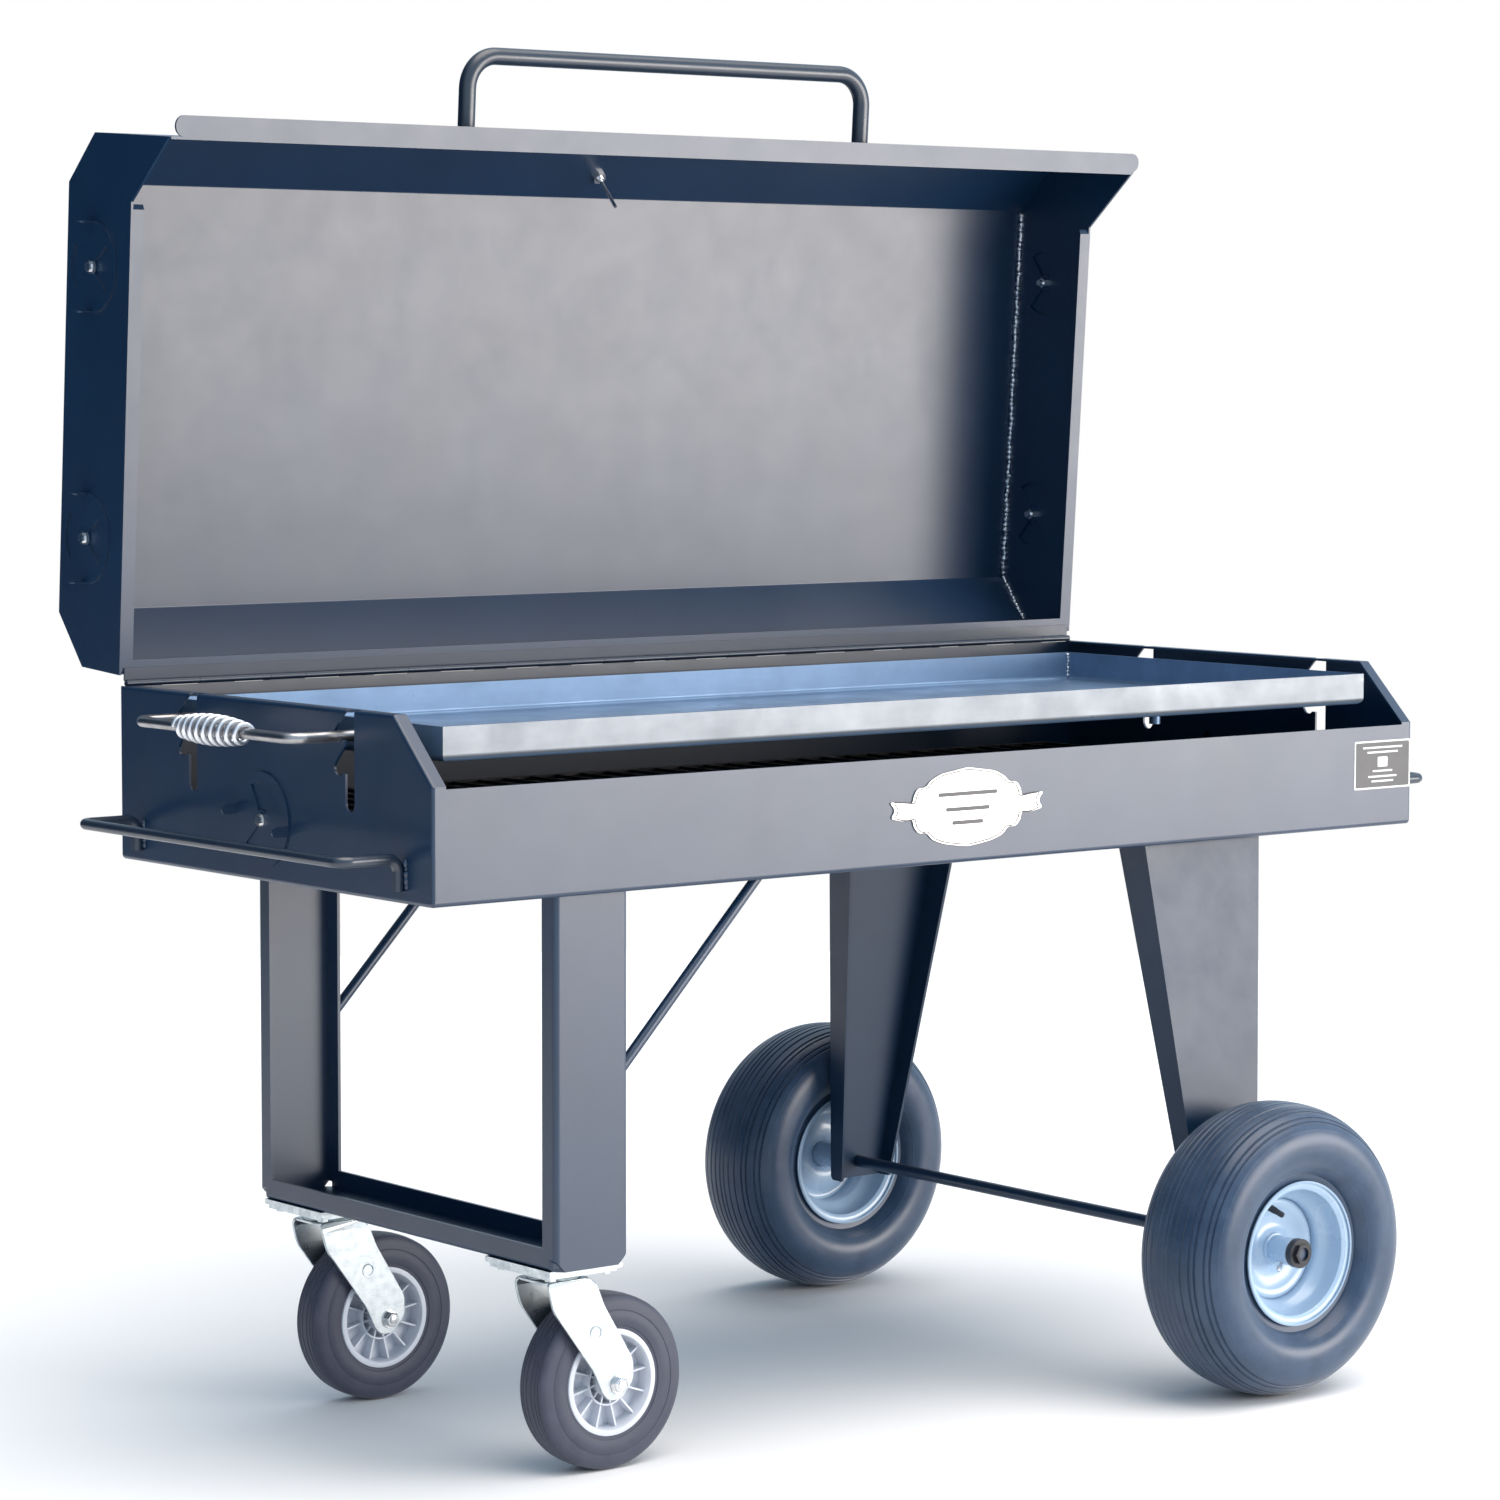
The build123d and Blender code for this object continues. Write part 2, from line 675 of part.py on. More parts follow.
def caster_leg(side):
    """Upright channel, web outside, mitred at its foot."""
    web_y = side * LEG_Y
    section = Plane(origin=(LEG_X, web_y, BASE_Z), x_dir=(side, 0, 0), z_dir=(0, 0, -1))
    with BuildPart() as leg:
        with BuildSketch(section):
            if section.y_dir.Y * side < 0:
                channel(LEG_W)
            else:
                with Locations(Rotation(0, 0, 180)):
                    channel(LEG_W)
        extrude(amount=BASE_Z - FRAME_BOTTOM)
        bends = (
            leg.edges().filter_by(Axis.Z)
            .filter_by(lambda e: abs(abs(e.center().Y) - LEG_Y) < 0.1)
        )
        fillet(bends, radius=BEND_R)
        with BuildSketch(Plane.YZ.offset(LEG_X - LEG_W)):
            with BuildLine():
                Polyline(
                    (web_y, FRAME_BOTTOM),
                    (web_y - side * 2 * LEG_FLANGE, FRAME_BOTTOM + 2 * LEG_FLANGE),
                    (web_y - side * 2 * LEG_FLANGE, FRAME_BOTTOM - 1),
                    (web_y, FRAME_BOTTOM - 1),
                    close=True,
                )
            make_face()
        extrude(amount=2 * LEG_W, mode=Mode.SUBTRACT)
        with BuildSketch(Plane.XZ.offset(LEG_Y + 5)):
            for edge in (-1, 1):
                with Locations((LEG_X + edge * LEG_W / 2, FRAME_BOTTOM)):
                    Rectangle(20, 20, rotation=45)
        extrude(amount=-2 * LEG_Y - 10, mode=Mode.SUBTRACT)
    return leg


save("caster_leg_front", caster_leg(-1))
save("caster_leg_rear", caster_leg(1))

with BuildPart() as caster_crossbar:
    section = Plane(origin=(LEG_X, -LEG_Y, FRAME_BOTTOM), x_dir=(-1, 0, 0), z_dir=(0, 1, 0))
    with BuildSketch(section):
        channel(LEG_W)
    extrude(amount=2 * LEG_Y)
    bends = (
        caster_crossbar.edges().filter_by(Axis.Y)
        .filter_by(lambda e: e.center().Z < FRAME_BOTTOM + 0.1)
    )
    fillet(bends, radius=BEND_R)
    with BuildSketch(Plane.YZ.offset(LEG_X - LEG_W)):
        for side in (-1, 1):
            with BuildLine():
                Polyline(
                    (side * LEG_Y, FRAME_BOTTOM),
                    (side * (LEG_Y - 2 * LEG_FLANGE), FRAME_BOTTOM + 2 * LEG_FLANGE),
                    (side * LEG_Y, FRAME_BOTTOM + 2 * LEG_FLANGE),
                    close=True,
                )
            make_face()
    extrude(amount=2 * LEG_W, mode=Mode.SUBTRACT)
    with BuildSketch(Plane.XY.offset(FRAME_BOTTOM)):
        for side in (-1, 1):
            for edge in (-1, 1):
                with Locations((LEG_X + edge * LEG_W / 2, side * LEG_Y)):
                    Rectangle(20, 20, rotation=45)
    extrude(amount=LEG_FLANGE, mode=Mode.SUBTRACT)
save("caster_crossbar", caster_crossbar)

# Round diagonal braces from the legs up to the firebox.
BRACE_Y = 290.0
BRACE_LOW = (LEG_X + LEG_W / 2, BASE_Z - 203)
BRACE_HIGH = (LEG_X + LEG_W / 2 + 196, BASE_Z)


def brace(side):
    """Half-inch rod brace beside one leg, cut flush at both ends."""
    run = BRACE_HIGH[0] - BRACE_LOW[0]
    rise = BRACE_HIGH[1] - BRACE_LOW[1]
    y = side * BRACE_Y
    start = Vector(BRACE_LOW[0] - 0.1 * run, y, BRACE_LOW[1] - 0.1 * rise)
    with BuildPart() as rod:
        with BuildSketch(Plane(origin=start, z_dir=(run, 0, rise))):
            Circle(ROD_R)
        extrude(amount=1.2 * sqrt(run**2 + rise**2))
        split(bisect_by=Plane.XY.offset(BASE_Z), keep=Keep.BOTTOM)
        split(bisect_by=Plane.YZ.offset(BRACE_LOW[0]), keep=Keep.TOP)
    return rod


save("brace_front", brace(-1))
save("brace_rear", brace(1))

# ---- wheel legs, splayed and tapered channels ---------------------------
SPLAY = 60.0 / 515.0
LEG_TOP_W = 198.0
LEG_FOOT_W = 86.0
LEG_FOOT_Z = 158.0
FOOT_Y = LEG_Y + SPLAY * (BASE_Z - LEG_FOOT_Z)


def wheel_leg(side):
    """Tapered channel with its web outside, wide at the box."""
    slope = Vector(0, side * (FOOT_Y - LEG_Y), LEG_FOOT_Z - BASE_Z)
    web = Plane(
        origin=(AXLE_X, side * LEG_Y, BASE_Z),
        x_dir=(1, 0, 0),
        z_dir=Vector(1, 0, 0).cross(slope) * side,
    )
    length = slope.length
    down = 1 if web.y_dir.Z < 0 else -1
    inward = -1 if web.z_dir.Y * side > 0 else 1
    with BuildPart() as leg:
        with BuildSketch(web):
            with BuildLine():
                Polyline(
                    (-LEG_TOP_W / 2, -down * 8),
                    (LEG_TOP_W / 2, -down * 8),
                    (LEG_FOOT_W / 2, down * length),
                    (-LEG_FOOT_W / 2, down * length),
                    close=True,
                )
            make_face()
        extrude(amount=inward * 51)
        outer_face = leg.faces().sort_by(Axis.Y)[0 if side < 0 else -1]
        fillet(outer_face.edges().sort_by(SortBy.LENGTH)[-2:], radius=BEND_R)
        with BuildSketch(web.offset(inward * LEG_T)):
            with BuildLine():
                Polyline(
                    (-LEG_TOP_W / 2 + LEG_T, -down * 10),
                    (LEG_TOP_W / 2 - LEG_T, -down * 10),
                    (LEG_FOOT_W / 2 - LEG_T, down * (length + 2)),
                    (-LEG_FOOT_W / 2 + LEG_T, down * (length + 2)),
                    close=True,
                )
            make_face()
        extrude(amount=inward * 51, mode=Mode.SUBTRACT)
        # flanges narrow from 51 at the top to 23 at the foot
        with BuildSketch(Plane.YZ.offset(AXLE_X - LEG_TOP_W)):
            with BuildLine():
                Polyline(
                    (side * (LEG_Y - 51), BASE_Z + 20),
                    (side * (FOOT_Y - 23), LEG_FOOT_Z),
                    (side * (FOOT_Y - 23), LEG_FOOT_Z - 40),
                    (side * (LEG_Y - 120), LEG_FOOT_Z - 40),
                    (side * (LEG_Y - 120), BASE_Z + 20),
                    close=True,
                )
            make_face()
        extrude(amount=2 * LEG_TOP_W, mode=Mode.SUBTRACT)
        split(bisect_by=Plane.XY.offset(BASE_Z), keep=Keep.BOTTOM)
        split(bisect_by=Plane.XY.offset(LEG_FOOT_Z), keep=Keep.TOP)
        with BuildSketch(Plane.XZ.offset(-side * (LEG_Y - 60))):
            with Locations((AXLE_X, WHEEL_R)):
                Circle(AXLE_R + 0.2)
        extrude(amount=-side * 160, mode=Mode.SUBTRACT)
    return leg


save("wheel_leg_front", wheel_leg(-1))
save("wheel_leg_rear", wheel_leg(1))

HUB_OUT = 483.0             # ends of the axle
HUB_HALF = 42.0             # half the length of a wheel's hub tube
with BuildPart() as axle:
    with BuildSketch(Plane.XZ.offset(-HUB_OUT)):
        with Locations((AXLE_X, WHEEL_R)):
            Circle(AXLE_R)
    extrude(amount=2 * HUB_OUT)
save("axle", axle)

# Collars on the axle: hex-ended caps outside the hubs, plain rings inside.
with BuildPart() as axle_collars:
    for side in (-1, 1):
        with BuildSketch(Plane.XZ.offset(-side * (HUB_OUT - 10.5))):
            with Locations((AXLE_X, WHEEL_R)):
                Circle(18)
                Circle(AXLE_R, mode=Mode.SUBTRACT)
        extrude(amount=-side * 9)
        with BuildSketch(Plane.XZ.offset(-side * (HUB_OUT - 1.5))):
            with Locations((AXLE_X, WHEEL_R)):
                RegularPolygon(13, 6)
                Circle(AXLE_R, mode=Mode.SUBTRACT)
        extrude(amount=-side * 5)
        with BuildSketch(Plane.XZ.offset(-side * (WHEEL_Y - HUB_HALF - 1.5))):
            with Locations((AXLE_X, WHEEL_R)):
                Circle(14)
                Circle(AXLE_R, mode=Mode.SUBTRACT)
        extrude(amount=side * 12)
save("axle_collars", axle_collars)

# ---- pneumatic wheels ---------------------------------------------------
RIM_R = 87.0                # rim flange
BEAD_R = 79.5
RIM_HALF = 48.5
BORE_R = AXLE_R + 0.08
HUB_R = 17.0


def wheel_centre(side):
    return (AXLE_X, side * WHEEL_Y, WHEEL_R)


def wheel_tyre(side):
    """Tyre section: round casing, ribbed crown, beads on the rim."""
    centre = wheel_centre(side)
    mid = (WHEEL_R + BEAD_R) / 2 + 4
    half = WHEEL_W / 2
    seat = BEAD_R + 0.8
    with BuildPart() as tyre:
        with BuildSketch(Plane(origin=centre, z_dir=(0, 0, 1))):
            with BuildLine():
                Polyline((RIM_R + 2, RIM_HALF - 1), (seat, RIM_HALF - 4), (seat, 0))
                Spline(
                    (RIM_R + 2, RIM_HALF - 1),
                    (mid, half),
                    (WHEEL_R - 13, half - 20),
                    (WHEEL_R, 0),
                    tangents=((0.8, 0.6), (0, -1)),
                )
                Line((seat, 0), (WHEEL_R, 0))
            make_face()
            with BuildLine():
                Line((seat - 1, 0), (seat - 1, RIM_HALF - 11))
                Spline(
                    (seat - 1, RIM_HALF - 11),
                    (mid, half - 7),
                    (WHEEL_R - 22, half - 25),
                    (WHEEL_R - 9, 0),
                    tangents=((0.8, 0.6), (0, -1)),
                )
                Line((WHEEL_R - 9, 0), (seat - 1, 0))
            make_face(mode=Mode.SUBTRACT)
            for rib in (1, 2, 3):
                groove = rib * 13.0
                with Locations((WHEEL_R - 0.0075 * groove**2, groove)):
                    Rectangle(7, 2.6, mode=Mode.SUBTRACT)
            mirror(about=Plane.XZ)
            with Locations((WHEEL_R, 0)):
                Rectangle(7, 2.6, mode=Mode.SUBTRACT)
        revolve(axis=Axis(centre, (0, 1, 0)))
    return tyre


def wheel_rim(side):
    """Pressed rim: two flanges, drop centre, a disc and the hub tube."""
    centre = wheel_centre(side)
    with BuildPart() as rim:
        with BuildSketch(Plane(origin=centre, z_dir=(0, 0, 1))):
            with BuildLine():
                FilletPolyline(
                    (RIM_R, RIM_HALF + 2),
                    (BEAD_R, RIM_HALF),
                    (BEAD_R - 1, 24),
                    (BEAD_R - 14, 15),
                    (BEAD_R - 14, -15),
                    (BEAD_R - 1, -24),
                    (BEAD_R, -RIM_HALF),
                    (RIM_R, -RIM_HALF - 2),
                    radius=2.5,
                )
                offset(amount=2.5, side=Side.RIGHT)
            make_face()
            web_out = BEAD_R - 15
            web_in = HUB_R - 1
            with Locations(((web_out + web_in) / 2, 0)):
                Rectangle(web_out - web_in, 3)
            with Locations(((BORE_R + HUB_R) / 2, 0)):
                Rectangle(HUB_R - BORE_R, 2 * HUB_HALF)
        revolve(axis=Axis(centre, (0, 1, 0)))
    return rim


for side, name in ((-1, "front"), (1, "rear")):
    save(f"tyre_{name}", wheel_tyre(side))
    save(f"rim_{name}", wheel_rim(side))
    stem_base = Vector(AXLE_X - 25, side * (WHEEL_Y + 17), WHEEL_R + 58)
    with BuildPart() as valve:
        with BuildSketch(Plane(origin=stem_base, z_dir=(0.25, side, -0.55))):
            Circle(5)
        extrude(amount=26)
    save(f"valve_{name}", valve)


# ---- swivel casters -----------------------------------------------------
PAD_T = 6.0
PLATE_T = 4.0
CASTER_TOP = FRAME_BOTTOM
PLATE_BOTTOM = CASTER_TOP - PAD_T - PLATE_T
RACE_H = 10.0
CROWN_T = 4.0
FORK_HALF = 32.0
CASTER_W = 48.0
PIVOT_R = 6.0


def caster_mount(side):
    """Pad, top plate, kingpin and four bolts, fixed to the crossbar."""
    y = side * CASTER_Y
    with BuildPart() as mount:
        with Locations((CASTER_X, y, CASTER_TOP)):
            Box(LEG_W, 124, PAD_T, align=(Align.CENTER, Align.CENTER, Align.MAX))
        with BuildSketch(Plane.XY.offset(PLATE_BOTTOM)):
            with Locations((CASTER_X, y)):
                RectangleRounded(102, 114, radius=6)
        extrude(amount=PLATE_T)
        with BuildSketch(Plane.XY.offset(PLATE_BOTTOM)):
            with Locations((CASTER_X, y)):
                Circle(33)
        extrude(amount=-4)
        with BuildSketch(Plane.XY.offset(PLATE_BOTTOM)):
            with Locations((CASTER_X, y)):
                Circle(PIVOT_R)
        extrude(amount=-RACE_H - CROWN_T - 4)
        with BuildSketch(Plane.XY.offset(PLATE_BOTTOM)):
            with Locations((CASTER_X, y)):
                with GridLocations(76, 90, 2, 2):
                    RegularPolygon(7, 6)
        extrude(amount=-4)
    return mount


def caster_fork(side):
    """Swivel fork: crown disc with race cup and two raked legs."""
    y = side * CASTER_Y
    crown_z = PLATE_BOTTOM - 4.4
    axle_at = (CASTER_X + CASTER_TRAIL, CASTER_R)
    with BuildPart() as fork:
        with BuildSketch(Plane.XY.offset(crown_z)):
            with Locations((CASTER_X, y)):
                Circle(30)
                Circle(PIVOT_R + 0.08, mode=Mode.SUBTRACT)
        extrude(amount=-6)
        with BuildSketch(Plane.XY.offset(crown_z - 6)):
            with Locations((CASTER_X, y)):
                Rectangle(64, 2 * FORK_HALF)
                Circle(PIVOT_R + 0.08, mode=Mode.SUBTRACT)
        extrude(amount=-CROWN_T)
        for ear in (-1, 1):
            with BuildSketch(Plane.XZ.offset(-(y + ear * FORK_HALF - 2))):
                with BuildLine():
                    Polyline(
                        (CASTER_X - 32, crown_z - 6),
                        (CASTER_X + 32, crown_z - 6),
                        (CASTER_X + 46, crown_z - 40),
                        (axle_at[0] + 22, axle_at[1] + 4),
                        (axle_at[0] + 14, axle_at[1] - 16),
                        (axle_at[0] - 12, axle_at[1] - 18),
                        (axle_at[0] - 20, axle_at[1] - 6),
                        (CASTER_X + 4, crown_z - 60),
                        (CASTER_X - 22, crown_z - 26),
                        close=True,
                    )
                make_face()
                with Locations(axle_at):
                    Circle(PIVOT_R + 0.05, mode=Mode.SUBTRACT)
            extrude(amount=-4)
    return fork


def caster_bolt(side):
    """Axle bolt, nut and spacers across the fork."""
    y = side * CASTER_Y
    at = (CASTER_X + CASTER_TRAIL, CASTER_R)
    with BuildPart() as bolt:
        with BuildSketch(Plane.XZ.offset(-(y - FORK_HALF - 9))):
            with Locations(at):
                Circle(PIVOT_R)
        extrude(amount=-2 * FORK_HALF - 20)
        for outer, step in ((y - FORK_HALF + 2 - 4, 7), (y + FORK_HALF + 2, -7)):
            with BuildSketch(Plane.XZ.offset(-outer)):
                with Locations(at):
                    RegularPolygon(10, 6)
            extrude(amount=step)
    return bolt


def caster_tyre(side):
    """Solid rubber tyre with a flat, grooved tread."""
    centre = (CASTER_X + CASTER_TRAIL, side * CASTER_Y, CASTER_R)
    with BuildPart() as tyre:
        with BuildSketch(Plane(origin=centre, z_dir=(0, 0, 1))) as section:
            with BuildLine():
                Polyline(
                    (62, CASTER_W / 2 - 3),
                    (74, CASTER_W / 2),
                    (92, CASTER_W / 2 - 1),
                    (CASTER_R, CASTER_W / 2 - 9),
                    (CASTER_R, -CASTER_W / 2 + 9),
                    (92, -CASTER_W / 2 + 1),
                    (74, -CASTER_W / 2),
                    (62, -CASTER_W / 2 + 3),
                    close=True,
                )
            make_face()
            corners = section.vertices().filter_by(lambda v: abs(v.Y) > 0)
            fillet(corners.sort_by(Axis.X)[-4:], radius=4)
            for groove in (-12, -4, 4, 12):
                with Locations((CASTER_R, groove)):
                    Rectangle(4, 1.8, mode=Mode.SUBTRACT)
        revolve(axis=Axis(centre, (0, 1, 0)))
    return tyre


def caster_hub(side):
    """Spoked hub with an outer band, a web and a bored boss."""
    centre = (CASTER_X + CASTER_TRAIL, side * CASTER_Y, CASTER_R)
    bore = PIVOT_R + 0.08
    with BuildPart() as hub:
        with BuildSketch(Plane(origin=centre, z_dir=(0, 0, 1))):
            with Locations((58.9, 0)):
                Rectangle(6, CASTER_W - 4)
            with Locations((39, 0)):
                Rectangle(40, 4)
            with Locations(((bore + 20) / 2, 0)):
                Rectangle(20 - bore, 54)
        revolve(axis=Axis(centre, (0, 1, 0)))
        with BuildSketch(Plane(origin=centre, x_dir=(1, 0, 0), z_dir=(0, -1, 0))):
            with PolarLocations(38, 12):
                Rectangle(38, 2.5)
        extrude(amount=17, both=True)
    return hub


for side, name in ((-1, "front"), (1, "rear")):
    save(f"caster_mount_{name}", caster_mount(side))
    save(f"caster_fork_{name}", caster_fork(side))
    save(f"caster_bolt_{name}", caster_bolt(side))
    save(f"caster_tyre_{name}", caster_tyre(side))
    save(f"caster_hub_{name}", caster_hub(side))
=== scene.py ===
# %% [markdown]
# # A charcoal roaster on wheels
# The steel frame of this roaster comes ready made from a CAD model: folded
# sheets, rods, legs and dampers already have their true size and place.
# Blender's job is the look of it. Some pieces only need a good finish, and
# some, such as tyres, coil grips, hubs and weld beads, are built here in
# finer detail than the CAD carries.

import random
from math import cos, pi, radians, sin, sqrt

import bmesh
import bpy
from mathutils import Matrix, Vector


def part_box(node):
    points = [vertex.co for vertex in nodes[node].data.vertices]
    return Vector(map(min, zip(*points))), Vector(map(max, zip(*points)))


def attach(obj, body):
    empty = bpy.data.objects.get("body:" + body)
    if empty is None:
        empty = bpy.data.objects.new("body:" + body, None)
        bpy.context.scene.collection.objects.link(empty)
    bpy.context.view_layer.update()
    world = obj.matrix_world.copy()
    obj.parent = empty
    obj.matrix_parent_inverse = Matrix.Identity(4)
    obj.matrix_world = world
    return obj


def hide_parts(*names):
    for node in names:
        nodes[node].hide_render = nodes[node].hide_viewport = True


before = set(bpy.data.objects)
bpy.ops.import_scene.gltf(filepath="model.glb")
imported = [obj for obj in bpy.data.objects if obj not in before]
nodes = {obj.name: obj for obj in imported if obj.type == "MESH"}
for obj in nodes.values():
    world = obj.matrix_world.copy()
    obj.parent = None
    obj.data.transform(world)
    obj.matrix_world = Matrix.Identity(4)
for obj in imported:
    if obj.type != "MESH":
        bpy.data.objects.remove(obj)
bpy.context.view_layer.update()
scene = bpy.context.scene
print("frame pieces:", len(nodes))

# %% [markdown]
# Every piece made below rides on one of the frame's bodies, so that
# it moves with the joint it belongs to. Three small helpers cover most
# shapes: a lathe for round things, a tube for wire, rod and weld, and a
# plate cut from an outline. Each gives plain mesh, so nothing depends on the
# order in which Blender evaluates things. Sizes are written in millimetres
# and turned into metres with MM.

# %% Placing a piece and making a mesh
MM = 0.001
SHARP_ANGLE = 35
MERGE_DISTANCE = 1e-6


def place(mesh_object, body, replaced=(), finish=None):
    """Give a new piece its material, its body and what it stands for."""
    if finish is not None:
        mesh_object.data.materials.clear()
        mesh_object.data.materials.append(finish)
    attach(mesh_object, body)
    if replaced:
        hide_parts(*replaced)
    return mesh_object


def mesh_piece(name, points, faces, origin=(0, 0, 0), smooth=True, sharp=SHARP_ANGLE):
    """A mesh object whose points are given round its own origin."""
    mesh = bpy.data.meshes.new(name)
    mesh.from_pydata([tuple(p) for p in points], [], faces)
    work = bmesh.new()
    work.from_mesh(mesh)
    bmesh.ops.remove_doubles(work, verts=work.verts, dist=MERGE_DISTANCE)
    bmesh.ops.recalc_face_normals(work, faces=work.faces)
    work.to_mesh(mesh)
    work.free()
    if smooth:
        mesh.shade_smooth()
        mesh.set_sharp_from_angle(angle=radians(sharp))
    piece = bpy.data.objects.new(name, mesh)
    piece.location = origin
    scene.collection.objects.link(piece)
    return piece


# %% [markdown]
# The lathe turns a closed section about the wheel's own axle, which lies
# along Y. Tyres, rims, hubs and rings are all turned shapes, so one helper
# makes them all.

# %% Lathe


def lathe(name, profile, centre, steps=128, sharp=SHARP_ANGLE):
    """Turn a closed profile of (radius, along) about an axis along Y."""
    count = len(profile)
    points, faces = [], []
    for step in range(steps):
        turn = 2 * pi * step / steps
        for radius, along in profile:
            points.append((radius * MM * cos(turn), along * MM, radius * MM * sin(turn)))
    for step in range(steps):
        here, there = step * count, ((step + 1) % steps) * count
        for i in range(count):
            j = (i + 1) % count
            faces.append((here + i, here + j, there + j, there + i))
    return mesh_piece(name, points, faces, centre, sharp=sharp)


# %% [markdown]
# The tube follows a path with rings of points. Its section is turned as
# little as possible from one ring to the next, so that a coil or a bent rod
# does not twist. The radius may change on the way, which is how weld beads
# and valve stems get their shape.

# %% Tube


def sweep_rings(path, radii, sides):
    """Rings of points round a path, turned as little as possible on the way."""
    path = [Vector(p) for p in path]
    forward = (path[1] - path[0]).normalized()
    side = forward.orthogonal().normalized()
    rings = []
    for i, point in enumerate(path):
        ahead = path[min(i + 1, len(path) - 1)] - path[max(i - 1, 0)]
        ahead.normalize()
        side = (side - ahead * side.dot(ahead)).normalized()
        up = ahead.cross(side)
        radius = radii[i] if isinstance(radii, (list, tuple)) else radii
        ring = []
        for k in range(sides):
            angle = 2 * pi * k / sides
            ring.append(point + side * radius * cos(angle) + up * radius * sin(angle))
        rings.append(ring)
    return rings


def tube_mesh(path, radii, sides=12):
    """Points and faces of a capped tube along a path."""
    rings = sweep_rings(path, radii, sides)
    points = [p for ring in rings for p in ring]
    faces = []
    for i in range(len(rings) - 1):
        for k in range(sides):
            m = (k + 1) % sides
            here, there = i * sides, (i + 1) * sides
            faces.append((here + k, here + m, there + m, there + k))
    faces.append(tuple(range(sides)))
    faces.append(tuple((len(rings) - 1) * sides + k for k in range(sides)))
    return points, faces


def merge(parts):
    """Several (points, faces) lists as one."""
    points, faces = [], []
    for some_points, some_faces in parts:
        shift = len(points)
        points += [tuple(p) for p in some_points]
        faces += [tuple(i + shift for i in face) for face in some_faces]
    return points, faces


# %% [markdown]
# A plate is an outline given twice, at two depths, with walls between. Its
# corners are rounded with short arcs before it is cut, and its edges broken
# with a small bevel, since cut sheet never has a knife edge.

# %% Plate, rounded outline and bevel


def plate_mesh(outline, thickness, place_point):
    """A flat plate: the outline's (a, b) points, placed at two depths."""
    count = len(outline)
    points = [place_point(a, b, 0) for a, b in outline]
    points += [place_point(a, b, thickness) for a, b in outline]
    faces = [tuple(range(count)), tuple(range(count, 2 * count))]
    for i in range(count):
        j = (i + 1) % count
        faces.append((i, j, count + j, count + i))
    return points, faces


def rounded(outline, radius, steps=5):
    """Round the corners of an outline with short arcs."""
    result = []
    count = len(outline)
    for i in range(count):
        before, here, after = (Vector(outline[(i + d) % count]) for d in (-1, 0, 1))
        back, on = (before - here), (after - here)
        reach = min(radius, back.length * 0.45, on.length * 0.45)
        start, end = here + back.normalized() * reach, here + on.normalized() * reach
        for s in range(steps + 1):
            t = s / steps
            point = start * (1 - t) ** 2 + here * 2 * t * (1 - t) + end * t**2
            result.append((point.x, point.y))
    return result


def bevel(piece, width, segments=2, angle=30):
    """Break the hard edges of a made piece with a small round."""
    modifier = piece.modifiers.new("edge", "BEVEL")
    modifier.width = width
    modifier.segments = segments
    modifier.limit_method = "ANGLE"
    modifier.angle_limit = radians(angle)
    return piece


# %% [markdown]
# ## Finishes
# The roaster is powder coated in satin black. Powder coat is not flat: it
# has a faint orange peel and its gloss drifts a little from place to place.
# The materials make both from noise in the object's own space, so the grain
# has a real size whatever the piece. These helpers wire up the few nodes
# that every finish needs.

# %% Material helpers


def blank(name):
    """A new material with its shader and a noise-ready coordinate."""
    material = bpy.data.materials.new(name)
    material.use_nodes = True
    tree = material.node_tree
    shader = tree.nodes["Principled BSDF"]
    where = tree.nodes.new("ShaderNodeTexCoord")
    return material, tree, shader, where.outputs["Object"]


def noise(tree, where, scale, detail=3.0, rough=0.5, stretch=None):
    """A noise texture; stretch squeezes it along the object's axes."""
    texture = tree.nodes.new("ShaderNodeTexNoise")
    texture.inputs["Scale"].default_value = scale
    texture.inputs["Detail"].default_value = detail
    texture.inputs["Roughness"].default_value = rough
    if stretch is not None:
        mapping = tree.nodes.new("ShaderNodeMapping")
        mapping.inputs["Scale"].default_value = stretch
        tree.links.new(where, mapping.inputs["Vector"])
        where = mapping.outputs["Vector"]
    tree.links.new(where, texture.inputs["Vector"])
    return texture.outputs["Fac"]


def ramp(tree, value, low, high, start=0.3, end=0.7):
    """Map a value onto a range of colours or greys."""
    node = tree.nodes.new("ShaderNodeValToRGB")
    node.color_ramp.elements[0].position = start
    node.color_ramp.elements[1].position = end
    node.color_ramp.elements[0].color = (*low, 1)
    node.color_ramp.elements[1].color = (*high, 1)
    tree.links.new(value, node.inputs["Fac"])
    return node.outputs["Color"]


def span(tree, value, low, high, start=0.3, end=0.7):
    """Map a value onto a range of numbers."""
    node = tree.nodes.new("ShaderNodeMapRange")
    node.inputs["From Min"].default_value = start
    node.inputs["From Max"].default_value = end
    node.inputs["To Min"].default_value = low
    node.inputs["To Max"].default_value = high
    tree.links.new(value, node.inputs["Value"])
    return node.outputs["Result"]


def bump(tree, shader, height, strength, distance):
    """Bump the surface by a height value; chains onto an earlier bump."""
    node = tree.nodes.new("ShaderNodeBump")
    node.inputs["Strength"].default_value = strength
    node.inputs["Distance"].default_value = distance
    tree.links.new(height, node.inputs["Height"])
    old = shader.inputs["Normal"].links
    if old:
        tree.links.new(old[0].from_socket, node.inputs["Normal"])
    tree.links.new(node.outputs["Normal"], shader.inputs["Normal"])


# %% [markdown]
# Powder coat bakes on as a thick, slightly wavy skin. The colour is a very
# dark navy that passes for black. A raised IOR gives it the strong pale
# sheen that satin coat has on the faces turned to the light. The wheel legs
# get a less glossy version, because the full gloss reads too pale on them.

